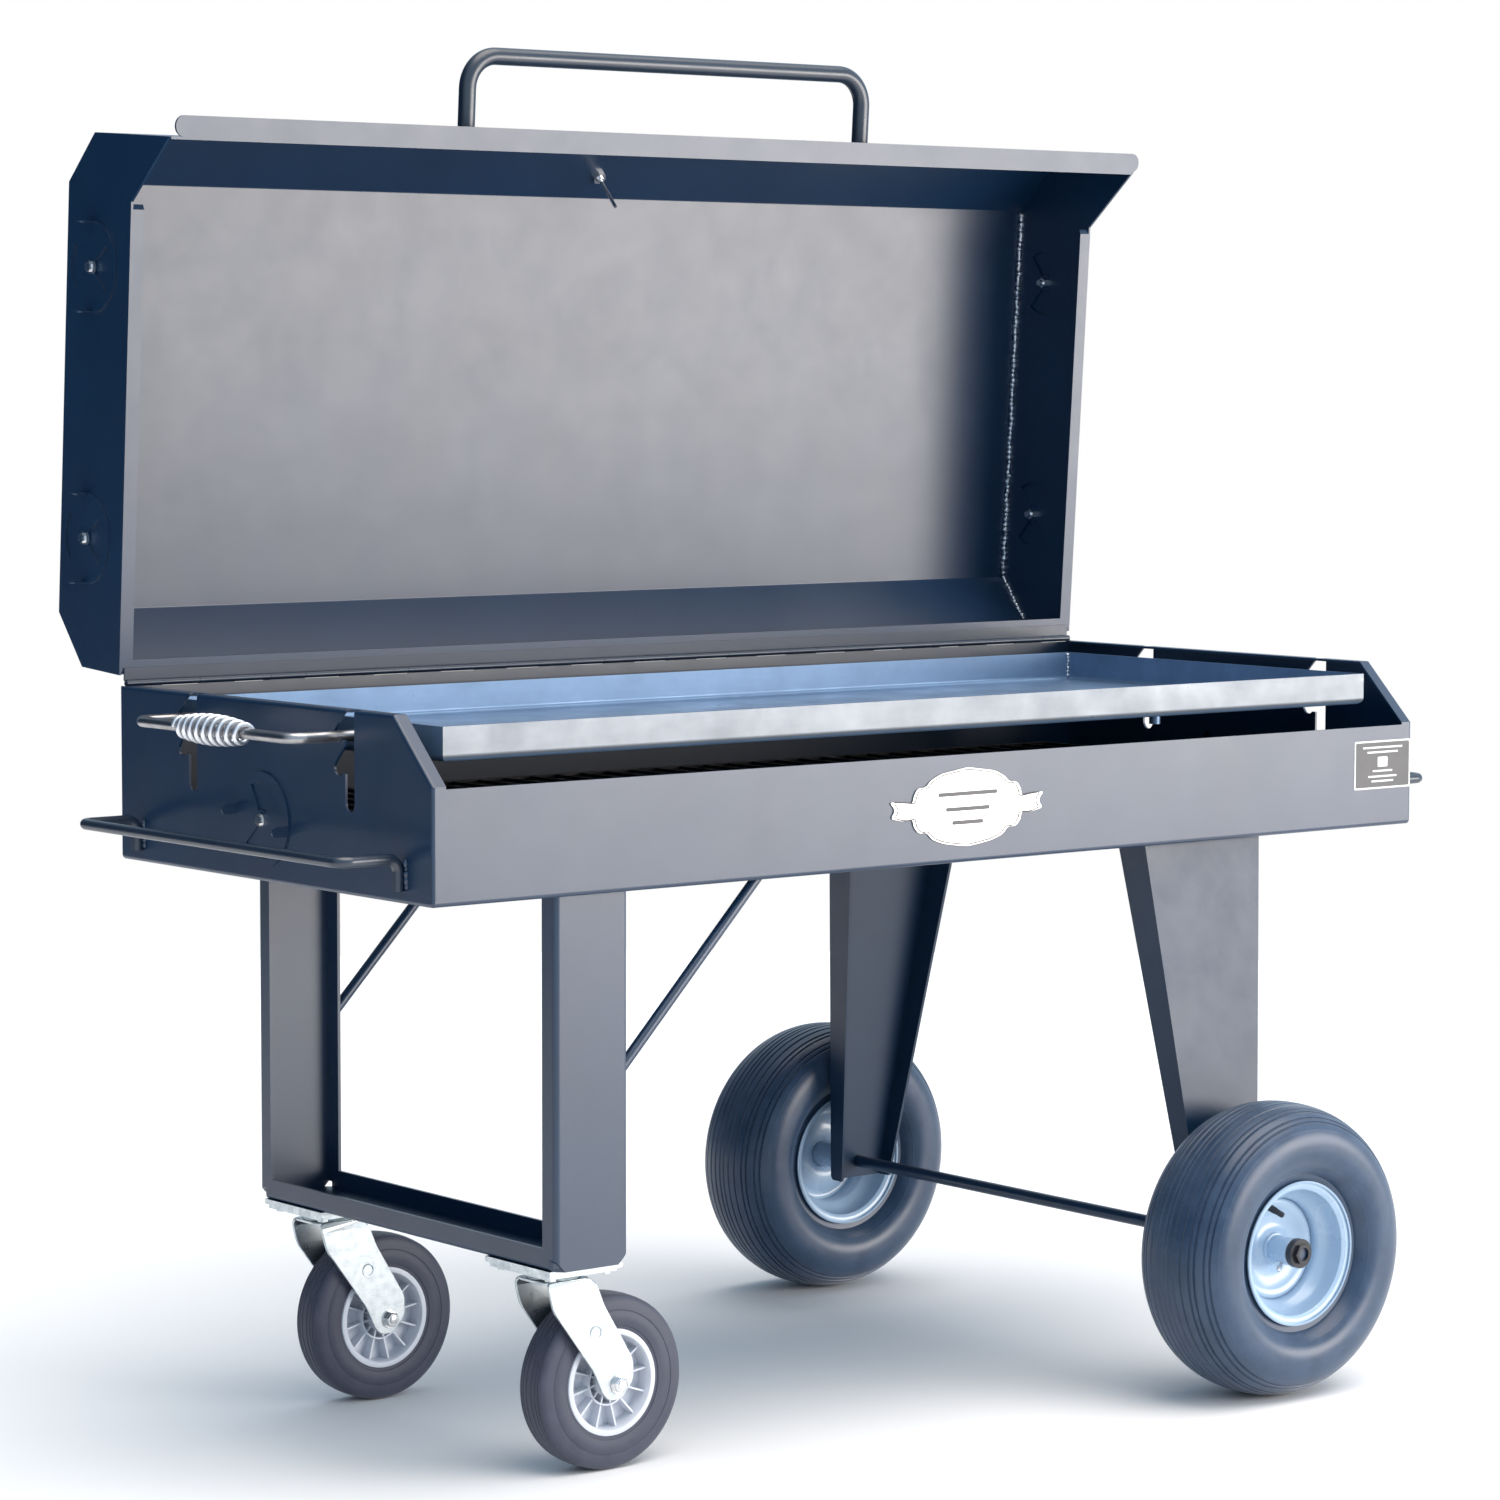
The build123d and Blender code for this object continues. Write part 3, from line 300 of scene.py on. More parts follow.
# %% Powder coat


def powder_coat(name, dark, light, rough_low, rough_high, ior):
    """Satin powder coat with orange peel and drifting gloss."""
    material, tree, shader, where = blank(name)
    drift = noise(tree, where, 6, 4, 0.6)
    tree.links.new(ramp(tree, drift, dark, light), shader.inputs["Base Color"])
    patch = noise(tree, where, 17, 5, 0.65)
    tree.links.new(span(tree, patch, rough_low, rough_high), shader.inputs["Roughness"])
    bump(tree, shader, noise(tree, where, 420, 2), 0.10, 0.0004)
    shader.inputs["IOR"].default_value = ior
    return material


BLACK_COAT = powder_coat(
    "satin black powder coat", (0.001, 0.018, 0.052), (0.002, 0.024, 0.066), 0.335, 0.375, 1.72,
)
LEG_COAT = powder_coat(
    "leg powder coat", (0.002, 0.018, 0.048), (0.004, 0.024, 0.060), 0.34, 0.42, 1.50,
)
HINGE_BLACK = powder_coat(
    "painted hinge", (0.003, 0.014, 0.034), (0.006, 0.020, 0.046), 0.30, 0.42, 1.7,
)
HANDLE_COAT = powder_coat(
    "handle powder coat", (0.010, 0.020, 0.038), (0.016, 0.028, 0.048), 0.28, 0.38, 1.7,
)
print("coats made")

# %% [markdown]
# The food tray is folded from mill-finish stainless sheet. Rolling leaves a
# cloudy mottle, and handling leaves streaks, so both the colour and the
# roughness are driven by two noises, one cloudy and one drawn out along the
# sheet. Zinc plating on the casters is the same recipe at a smaller scale.
# The tray is only partly metallic, because its dull mill skin scatters light.

# %% Bare metals
STREAK_SHARE = 0.35


def bare_metal(name, dark, light, rough_low, rough_high, cloud, streak, depth=0.0002, metal=1.0):
    """Metal with a cloudy mottle and fine drawn-out streaks."""
    material, tree, shader, where = blank(name)
    shader.inputs["Metallic"].default_value = metal
    clouds = noise(tree, where, cloud, 5, 0.6)
    lines = noise(tree, where, streak, 3, 0.6, (0.12, 1, 1))
    mix = tree.nodes.new("ShaderNodeMath")
    mix.operation = "MULTIPLY_ADD"
    mix.inputs[1].default_value = STREAK_SHARE
    tree.links.new(lines, mix.inputs[0])
    scaled = span(tree, clouds, 0.0, 0.65, 0.2, 0.8)
    tree.links.new(scaled, mix.inputs[2])
    value = mix.outputs[0]
    tree.links.new(ramp(tree, value, dark, light, 0.25, 0.75), shader.inputs["Base Color"])
    tree.links.new(span(tree, value, rough_high, rough_low, 0.2, 0.8), shader.inputs["Roughness"])
    bump(tree, shader, lines, 0.15, depth)
    return material


TRAY_STEEL = bare_metal(
    "mill finish stainless", (0.130, 0.148, 0.170), (0.175, 0.195, 0.220),
    0.26, 0.40, 16, 60, metal=0.40,
)
ZINC = bare_metal(
    "zinc plate", (0.42, 0.47, 0.50), (0.68, 0.73, 0.75), 0.22, 0.42, 90, 300,
)
SPRING_WIRE = bare_metal(
    "dull zinc wire", (0.74, 0.76, 0.80), (0.92, 0.93, 0.96), 0.30, 0.45, 200, 500,
)
ROD_STEEL = bare_metal(
    "brushed rod", (0.28, 0.28, 0.29), (0.46, 0.45, 0.45), 0.26, 0.40, 40, 250,
)
BRIGHT_BOLT = bare_metal(
    "bright bolt", (0.62, 0.63, 0.65), (0.88, 0.88, 0.88), 0.12, 0.28, 160, 400,
)
WELD = bare_metal(
    "weld bead", (0.38, 0.39, 0.42), (0.85, 0.86, 0.88), 0.22, 0.45, 220, 420, 0.0006,
)
GRATE_STEEL = bare_metal(
    "hot rolled bar", (0.05, 0.05, 0.055), (0.13, 0.12, 0.12), 0.45, 0.65, 30, 90,
)
PLAQUE_METAL = bare_metal(
    "plaque sheet", (0.58, 0.56, 0.54), (0.78, 0.76, 0.74), 0.35, 0.50, 30, 200,
)

# %% [markdown]
# The inside of the tray looks colder than its front wall, as bright steel
# does when it faces a blue sky. This studio is nearly white, so a blue tint
# painted into the steel's colour stands in for that: a painted reflection of
# the sky. It starts just behind the outer skin of the front wall, measured in
# the tray's own space.

# %% Painted blue sky reflection inside the tray
# The painted sky reflection tint fades in over this span behind the front wall's outer skin.
SKY_REFLECTION_START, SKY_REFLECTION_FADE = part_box("tray_pan")[0].y + 0.0006, 0.0010


def paint_sky_reflection(material, tint):
    """Multiply a material's colour by a tint behind the front skin: a painted sky reflection."""
    tree = material.node_tree
    shader = tree.nodes["Principled BSDF"]
    where = tree.nodes.new("ShaderNodeTexCoord")
    split = tree.nodes.new("ShaderNodeSeparateXYZ")
    tree.links.new(where.outputs["Object"], split.inputs["Vector"])
    # This multiply mix paints the blue sky reflection into the base colour.
    film = tree.nodes.new("ShaderNodeMix")
    film.data_type = "RGBA"
    film.blend_type = "MULTIPLY"
    share = span(tree, split.outputs["Y"], 0.0, 1.0, SKY_REFLECTION_START, SKY_REFLECTION_START + SKY_REFLECTION_FADE)
    factor, first, second = film.inputs[0], film.inputs[6], film.inputs[7]
    tree.links.new(share, factor)
    tree.links.new(shader.inputs["Base Color"].links[0].from_socket, first)
    second.default_value = (*tint, 1)
    tree.links.new(film.outputs[2], shader.inputs["Base Color"])


# The tray steel gets its painted blue sky reflection here.
paint_sky_reflection(TRAY_STEEL, (1.0, 1.42, 1.95))
# This prints where the painted sky reflection tint begins.
print("film starts at y =", round(SKY_REFLECTION_START, 4))

# %% [markdown]
# Rubber gets a dusty bloom: a slightly lighter, rougher film that gathers in
# patches. The pressed wheel rims are painted blue-grey, and the caster hubs
# are moulded in pale grey plastic with a fine moulding texture.

# %% Rubber, rim paint and plastic


def rubber(name, dark, bloom, rough_low, rough_high, grain=700):
    """Dusty rubber with a fine moulded grain."""
    material, tree, shader, where = blank(name)
    dust = noise(tree, where, 22, 6, 0.7)
    tree.links.new(ramp(tree, dust, dark, bloom, 0.35, 0.75), shader.inputs["Base Color"])
    tree.links.new(span(tree, dust, rough_low, rough_high), shader.inputs["Roughness"])
    bump(tree, shader, noise(tree, where, grain, 2), 0.18, 0.0003)
    shader.inputs["Sheen Weight"].default_value = 0.15
    shader.inputs["Sheen Roughness"].default_value = 0.5
    return material


def satin(name, low, high, rough_low, rough_high, scale=14, grain=350, ior=1.5):
    """Painted or moulded surface with gentle drift and a fine grain."""
    material, tree, shader, where = blank(name)
    drift = noise(tree, where, scale, 4, 0.55)
    tree.links.new(ramp(tree, drift, low, high), shader.inputs["Base Color"])
    tree.links.new(span(tree, drift, rough_low, rough_high), shader.inputs["Roughness"])
    bump(tree, shader, noise(tree, where, grain, 2), 0.08, 0.0003)
    shader.inputs["IOR"].default_value = ior
    return material


TYRE_RUBBER = rubber(
    "pneumatic tyre rubber", (0.012, 0.034, 0.076), (0.032, 0.064, 0.124), 0.29, 0.42,
)
CASTER_RUBBER = rubber(
    "caster rubber", (0.026, 0.032, 0.058), (0.054, 0.058, 0.092), 0.48, 0.64,
)
RIM_PAINT = satin(
    "blue-grey rim paint", (0.30, 0.42, 0.56), (0.36, 0.49, 0.64), 0.20, 0.30, ior=1.7,
)
HUB_PLASTIC = satin(
    "pale grey plastic", (0.56, 0.59, 0.65), (0.64, 0.67, 0.73), 0.35, 0.50,
)
BLACK_PLASTIC = satin(
    "black cap", (0.010, 0.011, 0.016), (0.020, 0.021, 0.028), 0.25, 0.40, 60,
)
LABEL_DARK = satin(
    "label print", (0.05, 0.05, 0.055), (0.075, 0.075, 0.08), 0.35, 0.50, 60,
)
LABEL_LIGHT = satin(
    "label film", (0.60, 0.60, 0.60), (0.70, 0.70, 0.69), 0.35, 0.50, 60,
)
print("finishes:", len(bpy.data.materials))

# %% [markdown]
# Most of the frame's pieces stay as they are and only need a finish. The
# longest matching start of a piece's name decides which one it gets, and
# everything not named here is powder coated black.

# %% Finishes for the CAD pieces that stay
FINISH_OF = {
    "tray_pan": TRAY_STEEL,
    "tray_drain": TRAY_STEEL,
    "tray_handle": ROD_STEEL,
    "charcoal_grate": GRATE_STEEL,
    "grate_rails": BLACK_COAT,
    "hinge": HINGE_BLACK,
    "lid_handle": HANDLE_COAT,
    "push_rail": HANDLE_COAT,
    "thermometer_stem": BRIGHT_BOLT,
    "thermometer_case": BRIGHT_BOLT,
    "wheel_leg": LEG_COAT,
    "axle": BLACK_COAT,
    "axle_collars": BLACK_PLASTIC,
    "caster_mount": ZINC,
    "caster_bolt": ZINC,
    "caster_fork": ZINC,
    "firebox_damper_bolts": BRIGHT_BOLT,
    "lid_damper_bolts": BRIGHT_BOLT,
    "rim": RIM_PAINT,
    "tyre": TYRE_RUBBER,
    "caster_hub": HUB_PLASTIC,
    "caster_tyre": CASTER_RUBBER,
    "valve": BLACK_PLASTIC,
    "name_plaque": PLAQUE_METAL,
    "data_plate": LABEL_LIGHT,
    "grip_spring": SPRING_WIRE,
}
for name, node in nodes.items():
    keys = [key for key in FINISH_OF if name.startswith(key)]
    finish = FINISH_OF[max(keys, key=len)] if keys else BLACK_COAT
    node.data.materials.clear()
    node.data.materials.append(finish)
print("finishes given to the frame pieces")

# %% [markdown]
# ## Pneumatic wheels
# A wheelbarrow tyre is a fat ring with fine grooves round its tread. The
# outline is a squared-off circle, sampled finely, and each groove is a dent
# in it, so the ribs are real geometry and catch the light by themselves.

# %% Tyre
WHEEL_R = 180.0
WHEEL_HALF = 70.0
CORE_R = 131.0
BEAD_AT = 88
SQUARENESS = 0.86
GROOVES = (4, 14, 25, 37, 44, 56, 63)
GROOVE_DEPTH, GROOVE_HALF = 2.0, 1.5
FLANK_RINGS = (73, 122)
RING_RISE, RING_HALF = 0.8, 1.2


def squared(value, power):
    """A signed power, used to square off a circle."""
    return (1 if value >= 0 else -1) * abs(value) ** power


def ridge(skin, at, half):
    """Height of a rounded ridge of a given half width, one at its middle."""
    return max(0.0, 1 - ((skin - at) / half) ** 2)


def tyre_profile():
    """Outline of the tyre, (radius, along), from bead to bead and back."""
    outer = []
    for step in range(-280, 281):
        turn = radians(step / 2)
        rise = WHEEL_R - CORE_R if abs(turn) < pi / 2 else CORE_R - BEAD_AT
        radius = CORE_R + rise * squared(cos(turn), SQUARENESS)
        along = WHEEL_HALF * squared(sin(turn), SQUARENESS)
        outer.append([radius, along])
    middle = len(outer) // 2
    lengths = [0.0] * len(outer)
    for direction in (1, -1):
        total, i = 0.0, middle
        while 0 <= i + direction < len(outer):
            a, b = outer[i], outer[i + direction]
            total += sqrt((a[0] - b[0]) ** 2 + (a[1] - b[1]) ** 2)
            i += direction
            lengths[i] = total
    profile = []
    for (radius, along), skin in zip(outer, lengths):
        dent = GROOVE_DEPTH * max(ridge(skin, groove, GROOVE_HALF) for groove in GROOVES)
        inward = Vector((CORE_R - radius, -along)).normalized()
        if abs(along) < 66 and radius > CORE_R:
            radius, along = radius + inward.x * dent, along + inward.y * dent
        ring = sum(ridge(skin, at, RING_HALF) for at in FLANK_RINGS)
        radius -= inward.x * RING_RISE * ring * (skin > 70)
        profile.append((radius, max(-WHEEL_HALF, min(WHEEL_HALF, along))))
    return [(81, -38), (81, -45), (88.5, -46.5), *profile, (88.5, 46.5), (81, 45), (81, 38)]


print("tyre outline points:", len(tyre_profile()))

# %% [markdown]
# The tread also carries small moulded nubs in rows, left where air escapes
# from the mould. They are tiny domes set on the shoulder in a ring pattern.

# %% Tyre, rim, hub and valve of one wheel
RIM_PROFILE = [
    (87.3, 52.3), (89.0, 51.4), (89.0, 49.6), (87.6, 48.8), (85.0, 49.2),
    (81.5, 48.2), (80.2, 45.0), (79.6, 36.0), (78.8, 30.0), (75.0, 24.0),
    (69.0, 18.5), (66.0, 15.5), (65.5, 12.0),
]


def rim_profile():
    """Rolled lips, stepped barrel and drop centre as one closed section."""
    outer = RIM_PROFILE + [(r, -a) for r, a in reversed(RIM_PROFILE)]
    inner = []
    for radius, along in reversed(outer):
        wall = 2.6 if abs(along) < 48 else 1.2
        inner.append((radius - wall, along * (0.985 if abs(along) > 48 else 1)))
    return outer + inner


def disc_profile():
    """Pressed wheel disc with a shallow dish round the hub."""
    face = [(63.2, 7), (60, 9), (56, 10), (50, 6), (42, 2), (32, 0), (24, 2), (19, 6), (17, 8)]
    back = [(r, a - 2.8) for r, a in reversed(face)]
    return face + back


def valve_and_grease(side, name, centre, body):
    """The valve stem through the disc and the grease fitting on the hub."""
    start = Vector((-22 * MM, side * 9 * MM, 58 * MM)) + centre
    lean = Vector((0.30, side * 0.88, -0.42)).normalized()
    path = [start + lean * (d * MM) for d in (-6, 0, 3, 8, 18, 20, 28, 30)]
    radii = [r * MM for r in (6.5, 6.5, 5.2, 4.6, 4.2, 3.7, 3.7, 2.6)]
    valve = mesh_piece(f"valve_stem_{name}", *tube_mesh(path, radii, 16))
    place(valve, body, [f"valve_{name}"], BLACK_PLASTIC)
    start = centre + Vector((-10 * MM, side * 27 * MM, -13 * MM))
    lean = Vector((-0.55, side * 0.25, -0.80)).normalized()
    path = [start + lean * (d * MM) for d in (-4, 3, 3.2, 8, 8.5, 11, 12.5)]
    radii = [r * MM for r in (3.4, 3.4, 4.6, 4.6, 2.2, 3.0, 2.0)]
    fitting = mesh_piece(f"grease_fitting_{name}", *tube_mesh(path, radii, 6))
    place(fitting, body, (), BRIGHT_BOLT)


NUB_ROWS = ((172.0, 31.0), (160.5, 49.0), (148.0, 62.0))
NUBS_ROUND = 48


def tread_nubs():
    """Rows of tiny domes on both shoulders, as (points, faces) lists."""
    nubs = []
    rng = random.Random(7)
    for row, (radius, along) in enumerate(NUB_ROWS):
        for k in range(NUBS_ROUND):
            turn = 2 * pi * (k + 0.5 * (row % 2)) / NUBS_ROUND + rng.uniform(-0.01, 0.01)
            for flank in (-1, 1):
                reach = radius - CORE_R
                out = Vector((cos(turn) * reach, flank * along, sin(turn) * reach))
                out.normalize()
                at = Vector((radius * cos(turn), flank * along, radius * sin(turn))) * MM
                skin = at - out * 1.5 * MM
                stalk = [skin, skin + out * 1.9 * MM, skin + out * 2.2 * MM]
                nubs.append(tube_mesh(stalk, [0.0009, 0.0009, 0.0004], 5))
    return nubs


def wheel(side, name):
    """One pneumatic wheel, turned so that its outer face looks along side."""
    low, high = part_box(f"tyre_{name}")
    centre = (low + high) / 2
    body = f"main_wheel_{name}"
    tyre = lathe(f"wheel_tyre_{name}", tyre_profile(), centre, 160, sharp=50)
    place(tyre, body, [f"tyre_{name}"], TYRE_RUBBER)
    rim = lathe(f"wheel_rim_{name}", rim_profile(), centre, 128, sharp=40)
    place(rim, body, [f"rim_{name}"], RIM_PAINT)
    disc = [(r, side * a) for r, a in disc_profile()]
    hub = [(8.2, -42), (16, -42), (17, -41), (17, 41), (16, 42), (8.2, 42)]
    bead = []
    for k in range(8):
        turn = k * pi / 4
        bead.append((17 + 2.4 * cos(turn), side * (7.5 + 2.4 * sin(turn))))
    for made in (
        lathe(f"wheel_disc_{name}", disc, centre, 96, sharp=60),
        lathe(f"wheel_hub_{name}", hub, centre, 64),
        lathe(f"hub_weld_{name}", bead, centre, 64),
    ):
        place(made, body, [f"rim_{name}"], RIM_PAINT)
    valve_and_grease(side, name, centre, body)
    nubs = tread_nubs()
    made = mesh_piece(f"tyre_nubs_{name}", *merge(nubs), origin=centre)
    place(made, body, (), TYRE_RUBBER)


for side, name in ((-1, "front"), (1, "rear")):
    wheel(side, name)
print("wheels made")

# %% [markdown]
# ## Swivel casters
# Each caster has a ribbed rubber tyre on a two-part spoked plastic hub, a
# pressed zinc fork that trails behind its kingpin, and a plated bolt with a
# nut. The fork is one strip bent over the wheel, so its legs are plates with
# a round bend at the shoulder, a leaning edge and a clipped foot.

# %% Caster wheel
CASTER_R = 101.6
TREAD_HALF_STEPS = 36
TREAD_GROOVES = (4.5, 11.0, 15.5)
CROWN_FALL = 0.0040


def caster_tyre_profile():
    """Tyre section with a grooved tread and a stepped sidewall."""
    tread = []
    for step in range(-TREAD_HALF_STEPS, TREAD_HALF_STEPS + 1):
        along = step / 2
        dent = 1.5 * max(ridge(abs(along), groove, 0.9) for groove in TREAD_GROOVES)
        tread.append((CASTER_R - CROWN_FALL * along**2 - dent, along))
    flank = [
        (97.5, 21.0), (92, 22.8), (84.0, 23.5), (83.2, 22.9), (82.4, 23.5),
        (72, 23.6), (66.5, 22.6), (65.8, 21.6), (62.3, 21.3),
    ]
    return [(r, -a) for r, a in reversed(flank)] + tread + flank


def caster_rim_profile():
    """Outer band of the hub: a rounded lip on each side."""
    half = [
        (62.1, 20.5), (61.5, 22.6), (59.5, 23.4), (55.5, 23.0),
        (54.0, 21.0), (53.4, 14), (53.0, 3),
    ]
    return half + [(r, -a) for r, a in reversed(half)]


def hub_spokes(centre, name, body):
    """Web, inner drum and radial fins of the hub."""
    web = [(53.5, 2.0), (26, 2.0), (26, -2.0), (53.5, -2.0)]
    drum = [(28.0, 15), (26.0, 15), (26.0, -15), (28.0, -15)]
    boss = [(17, 26.6), (14.5, 27), (6.2, 27), (6.2, -27), (14.5, -27), (17, -26.6)]
    for label, profile in (("web", web), ("drum", drum), ("boss", boss)):
        made = lathe(f"hub_{label}_{name}", profile, centre, 72)
        place(made, body, [f"caster_hub_{name}"], HUB_PLASTIC)
    fins = []
    for k in range(12):
        turn = 2 * pi * (k + 0.35) / 12
        out = Vector((cos(turn), 0, sin(turn)))
        side = Vector((-sin(turn), 0, cos(turn)))
        near, far = 16 * MM, 53.6 * MM
        corners = []
        for reach, half in ((near, 12 * MM), (far, 16.5 * MM)):
            for s in (-1, 1):
                for y in (-half, half):
                    corners.append(out * reach + side * s * 1.1 * MM + Vector((0, y, 0)))
        faces = [(0, 1, 3, 2), (4, 6, 7, 5), (0, 4, 5, 1), (2, 3, 7, 6), (1, 5, 7, 3), (0, 2, 6, 4)]
        fins.append((corners, faces))
    spokes = mesh_piece(f"hub_fins_{name}", *merge(fins), origin=centre, smooth=False)
    place(spokes, body, [f"caster_hub_{name}"], HUB_PLASTIC)


# %% [markdown]
# The fork's legs keep their width from the crown down, lean back over the
# wheel and end in a clipped foot. Near the top each leg bends in to meet the
# crown, which the outline gets from a small parabola of the height.

# %% Caster fork
FORK_HALF, FORK_THICK, FORK_BEND = 34 * MM, 3.8 * MM, 9 * MM


def fork(name, centre, pivot, top, body):
    """Bent strip fork: a crown over the wheel and two leaning legs."""
    foot = (centre.x - pivot.x) / MM
    low = -(top - centre.z) / MM
    front_edge = [
        (-31, 0), (-30, -14), (-24, -34),
        (foot - 34, low + 18), (foot - 21, low - 10), (foot - 12, low - 18),
    ]
    back_edge = [
        (31, 0), (38, -12), (47, -34),
        (foot + 22, low + 26), (foot + 22, low + 2), (foot + 4, low - 18),
    ]
    outline = rounded(front_edge + list(reversed(back_edge)), 7, 4)
    parts = []
    for side in (-1, 1):
        def leg(a, b, depth, side=side):
            tuck = max(0.0, b * MM + FORK_BEND)
            out = FORK_HALF - depth - tuck * tuck / (2 * FORK_BEND)
            return Vector((pivot.x + a * MM, pivot.y + side * out, top + b * MM))
        parts.append(plate_mesh(outline, FORK_THICK, leg))
    legs = mesh_piece(f"fork_legs_{name}", *merge(parts), smooth=False)
    bevel(legs, 0.0008, 3)
    place(legs, body, [f"caster_fork_{name}"], ZINC)

    def on_crown(a, b, depth):
        return Vector((pivot.x + a * MM, pivot.y + b * MM, top + 0.2 * MM - depth))

    deck = rounded([(-31, -29), (31, -29), (31, 29), (-31, 29)], 9, 5)
    crown = mesh_piece(f"fork_crown_{name}", *plate_mesh(deck, FORK_THICK, on_crown), smooth=False)
    bevel(crown, 0.0010, 3)
    place(crown, body, [f"caster_fork_{name}"], ZINC)
    for side in (-1, 1):
        x, y = pivot.x + (foot * 0.55 - 2) * MM, pivot.y + side * (FORK_HALF - 0.1 * MM)
        mid = Vector((x, y, top + low * 0.50 * MM))
        mark = []
        for k in range(25):
            turn = 2 * pi * k / 24
            mark.append(mid + Vector((7.5 * MM * cos(turn), 0, 7.5 * MM * sin(turn))))
        ring = mesh_piece(f"fork_mark_{name}_{'ab'[side > 0]}", *tube_mesh(mark, 0.9 * MM, 8))
        place(ring, body, [f"caster_fork_{name}"], ZINC)


def bolt_set(name, centre, body):
    """Axle bolt with a washer and hex ends outside the fork."""
    parts = []
    for side in (-1, 1):
        base = centre + Vector((0, side * 34.1 * MM, 0))
        out = Vector((0, side, 0))
        head = [base + out * d * MM for d in (1.6, 6.2, 7.4)]
        parts.append(tube_mesh([base, base + out * 1.6 * MM], 11 * MM, 32))
        parts.append(tube_mesh(head, [9.4 * MM, 9.4 * MM, 7.6 * MM], 6))
        if side < 0:
            end = [base + out * d * MM for d in (7.0, 8.2, 8.6)]
            parts.append(tube_mesh(end, [5.4 * MM, 5.4 * MM, 4.6 * MM], 24))
    made = mesh_piece(f"axle_bolt_{name}", *merge(parts))
    place(made, body, [f"caster_bolt_{name}"], BRIGHT_BOLT)


# %% Both casters
for side, name in ((-1, "front"), (1, "rear")):
    low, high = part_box(f"caster_tyre_{name}")
    centre = (low + high) / 2
    mount_low, mount_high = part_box(f"caster_mount_{name}")
    pivot = (mount_low + mount_high) / 2
    crown_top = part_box(f"caster_fork_{name}")[1].z - 6 * MM
    spin, swivel = f"caster_wheel_{name}", f"caster_swivel_{name}"
    made = lathe(f"solid_tyre_{name}", caster_tyre_profile(), centre, 144, sharp=40)
    place(made, spin, [f"caster_tyre_{name}"], CASTER_RUBBER)
    made = lathe(f"hub_band_{name}", caster_rim_profile(), centre, 96)
    place(made, spin, [f"caster_hub_{name}"], HUB_PLASTIC)
    hub_spokes(centre, name, spin)
    fork(name, centre, pivot, crown_top, swivel)
    bolt_set(name, centre, swivel)
    race = [(6.2, 0), (27, 0), (31, -1.2), (32.5, -3.4), (31, -5.2), (27, -5.8), (6.2, -5.8)]
    cup = lathe(f"race_cup_{name}", race, (0, 0, 0), 64)
    cup.data.transform(Matrix.Rotation(radians(90), 4, "X"))
    cup.location = (pivot.x, pivot.y, crown_top + 6 * MM)
    place(cup, swivel, [f"caster_fork_{name}"], ZINC)
print("casters made")

# %% [markdown]
# ## Coil grips
# The tray's carrying rod wears a coil of spring wire, fat in the middle and
# tight at both ends, which stays cool in the hand. A helix whose radius
# swells along its length is swept with a round section.

# %% Spring grips


def coil_grip(name, node, turns=9.5, wire=3.1):
    """A spindle-shaped coil that fills the CAD sleeve's box."""
    low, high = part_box(node)
    middle = (low + high) / 2
    length = high.y - low.y - 2 * wire * MM
    path = []
    steps = int(turns * 36)
    for k in range(steps + 1):
        t = k / steps
        swell = sin(pi * t) ** 0.9
        radius = (9.4 + 6.0 * swell) * MM
        turn = 2 * pi * turns * t
        y = low.y + wire * MM + length * t
        path.append((middle.x + radius * cos(turn), y, middle.z + radius * sin(turn)))
    made = mesh_piece(name, *tube_mesh(path, wire * MM, 12))
    return place(made, "tray", [node], SPRING_WIRE)


for end in ("left", "right"):
    coil_grip(f"coil_grip_{end}", f"grip_spring_{end}")

# %% [markdown]
# ## Welds
# The lid's end plates and the tray's corners are welded, and the beads are
# left bright in places. A bead is a tube with a rippled radius, so it looks
# like a row of overlapping scales.

# %% Weld beads
OPEN = radians(86.2)
HINGE_Y, HINGE_Z = 319.0, 881.0


def lid_point(u, v, x):
    """Point of the open lid in metres, from closed-lid millimetres."""
    along, up = u + 9.0, v + 5.5
    y = HINGE_Y - along * cos(OPEN) + up * sin(OPEN)
    z = HINGE_Z + along * sin(OPEN) + up * cos(OPEN)
    return Vector((x, y, z)) * MM


def weld_bead(name, start, end, width, body, seed, finish=WELD, lumps=0.25):
    """A rippled bead between two points."""
    rng = random.Random(seed)
    start, end = Vector(start), Vector(end)
    length = (end - start).length
    pitch = width * 0.9
    count = max(6, int(length / pitch) * 4)
    path, radii = [], []
    wander = Vector((0, 0, 0))
    swell = 1.0
    for k in range(count + 1):
        t = k / count
        if k % 4 == 0:
            swell = 1 + rng.uniform(-lumps, lumps)
            drift = Vector((rng.uniform(-1, 1), rng.uniform(-1, 1), rng.uniform(-1, 1)))
            wander = drift * width * 0.10
        phase = (k % 4) / 4
        path.append(start.lerp(end, t) + wander)
        radii.append(width / 2 * swell * (0.72 + 0.28 * sin(pi * phase)))
    made = mesh_piece(name, *tube_mesh(path, radii, 10))
    return place(made, body, (), finish)


for name, start, end, width, seed in (
    ("lid_weld_right", lid_point(64, 137.5, 757.5), lid_point(572, 137.5, 757.5), 0.0075, 3),
    ("lid_weld_right_low", lid_point(6, 90, 757.5), lid_point(62, 137.5, 757.5), 0.006, 5),
):
    weld_bead(name, start, end, width, "lid", seed)
tray_low, tray_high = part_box("tray_pan")
for index, (x, y) in enumerate(
    (
        (tray_low.x + 0.003, tray_low.y + 0.003), (tray_high.x - 0.003, tray_low.y + 0.003),
        (tray_low.x + 0.003, tray_high.y - 0.003), (tray_high.x - 0.003, tray_high.y - 0.003),
    )
):
    weld_bead(
        f"tray_corner_weld_{index}", (x, y, tray_low.z + 0.006), (x, y, tray_high.z - 0.001),
        0.005, "tray", 20 + index,
    )
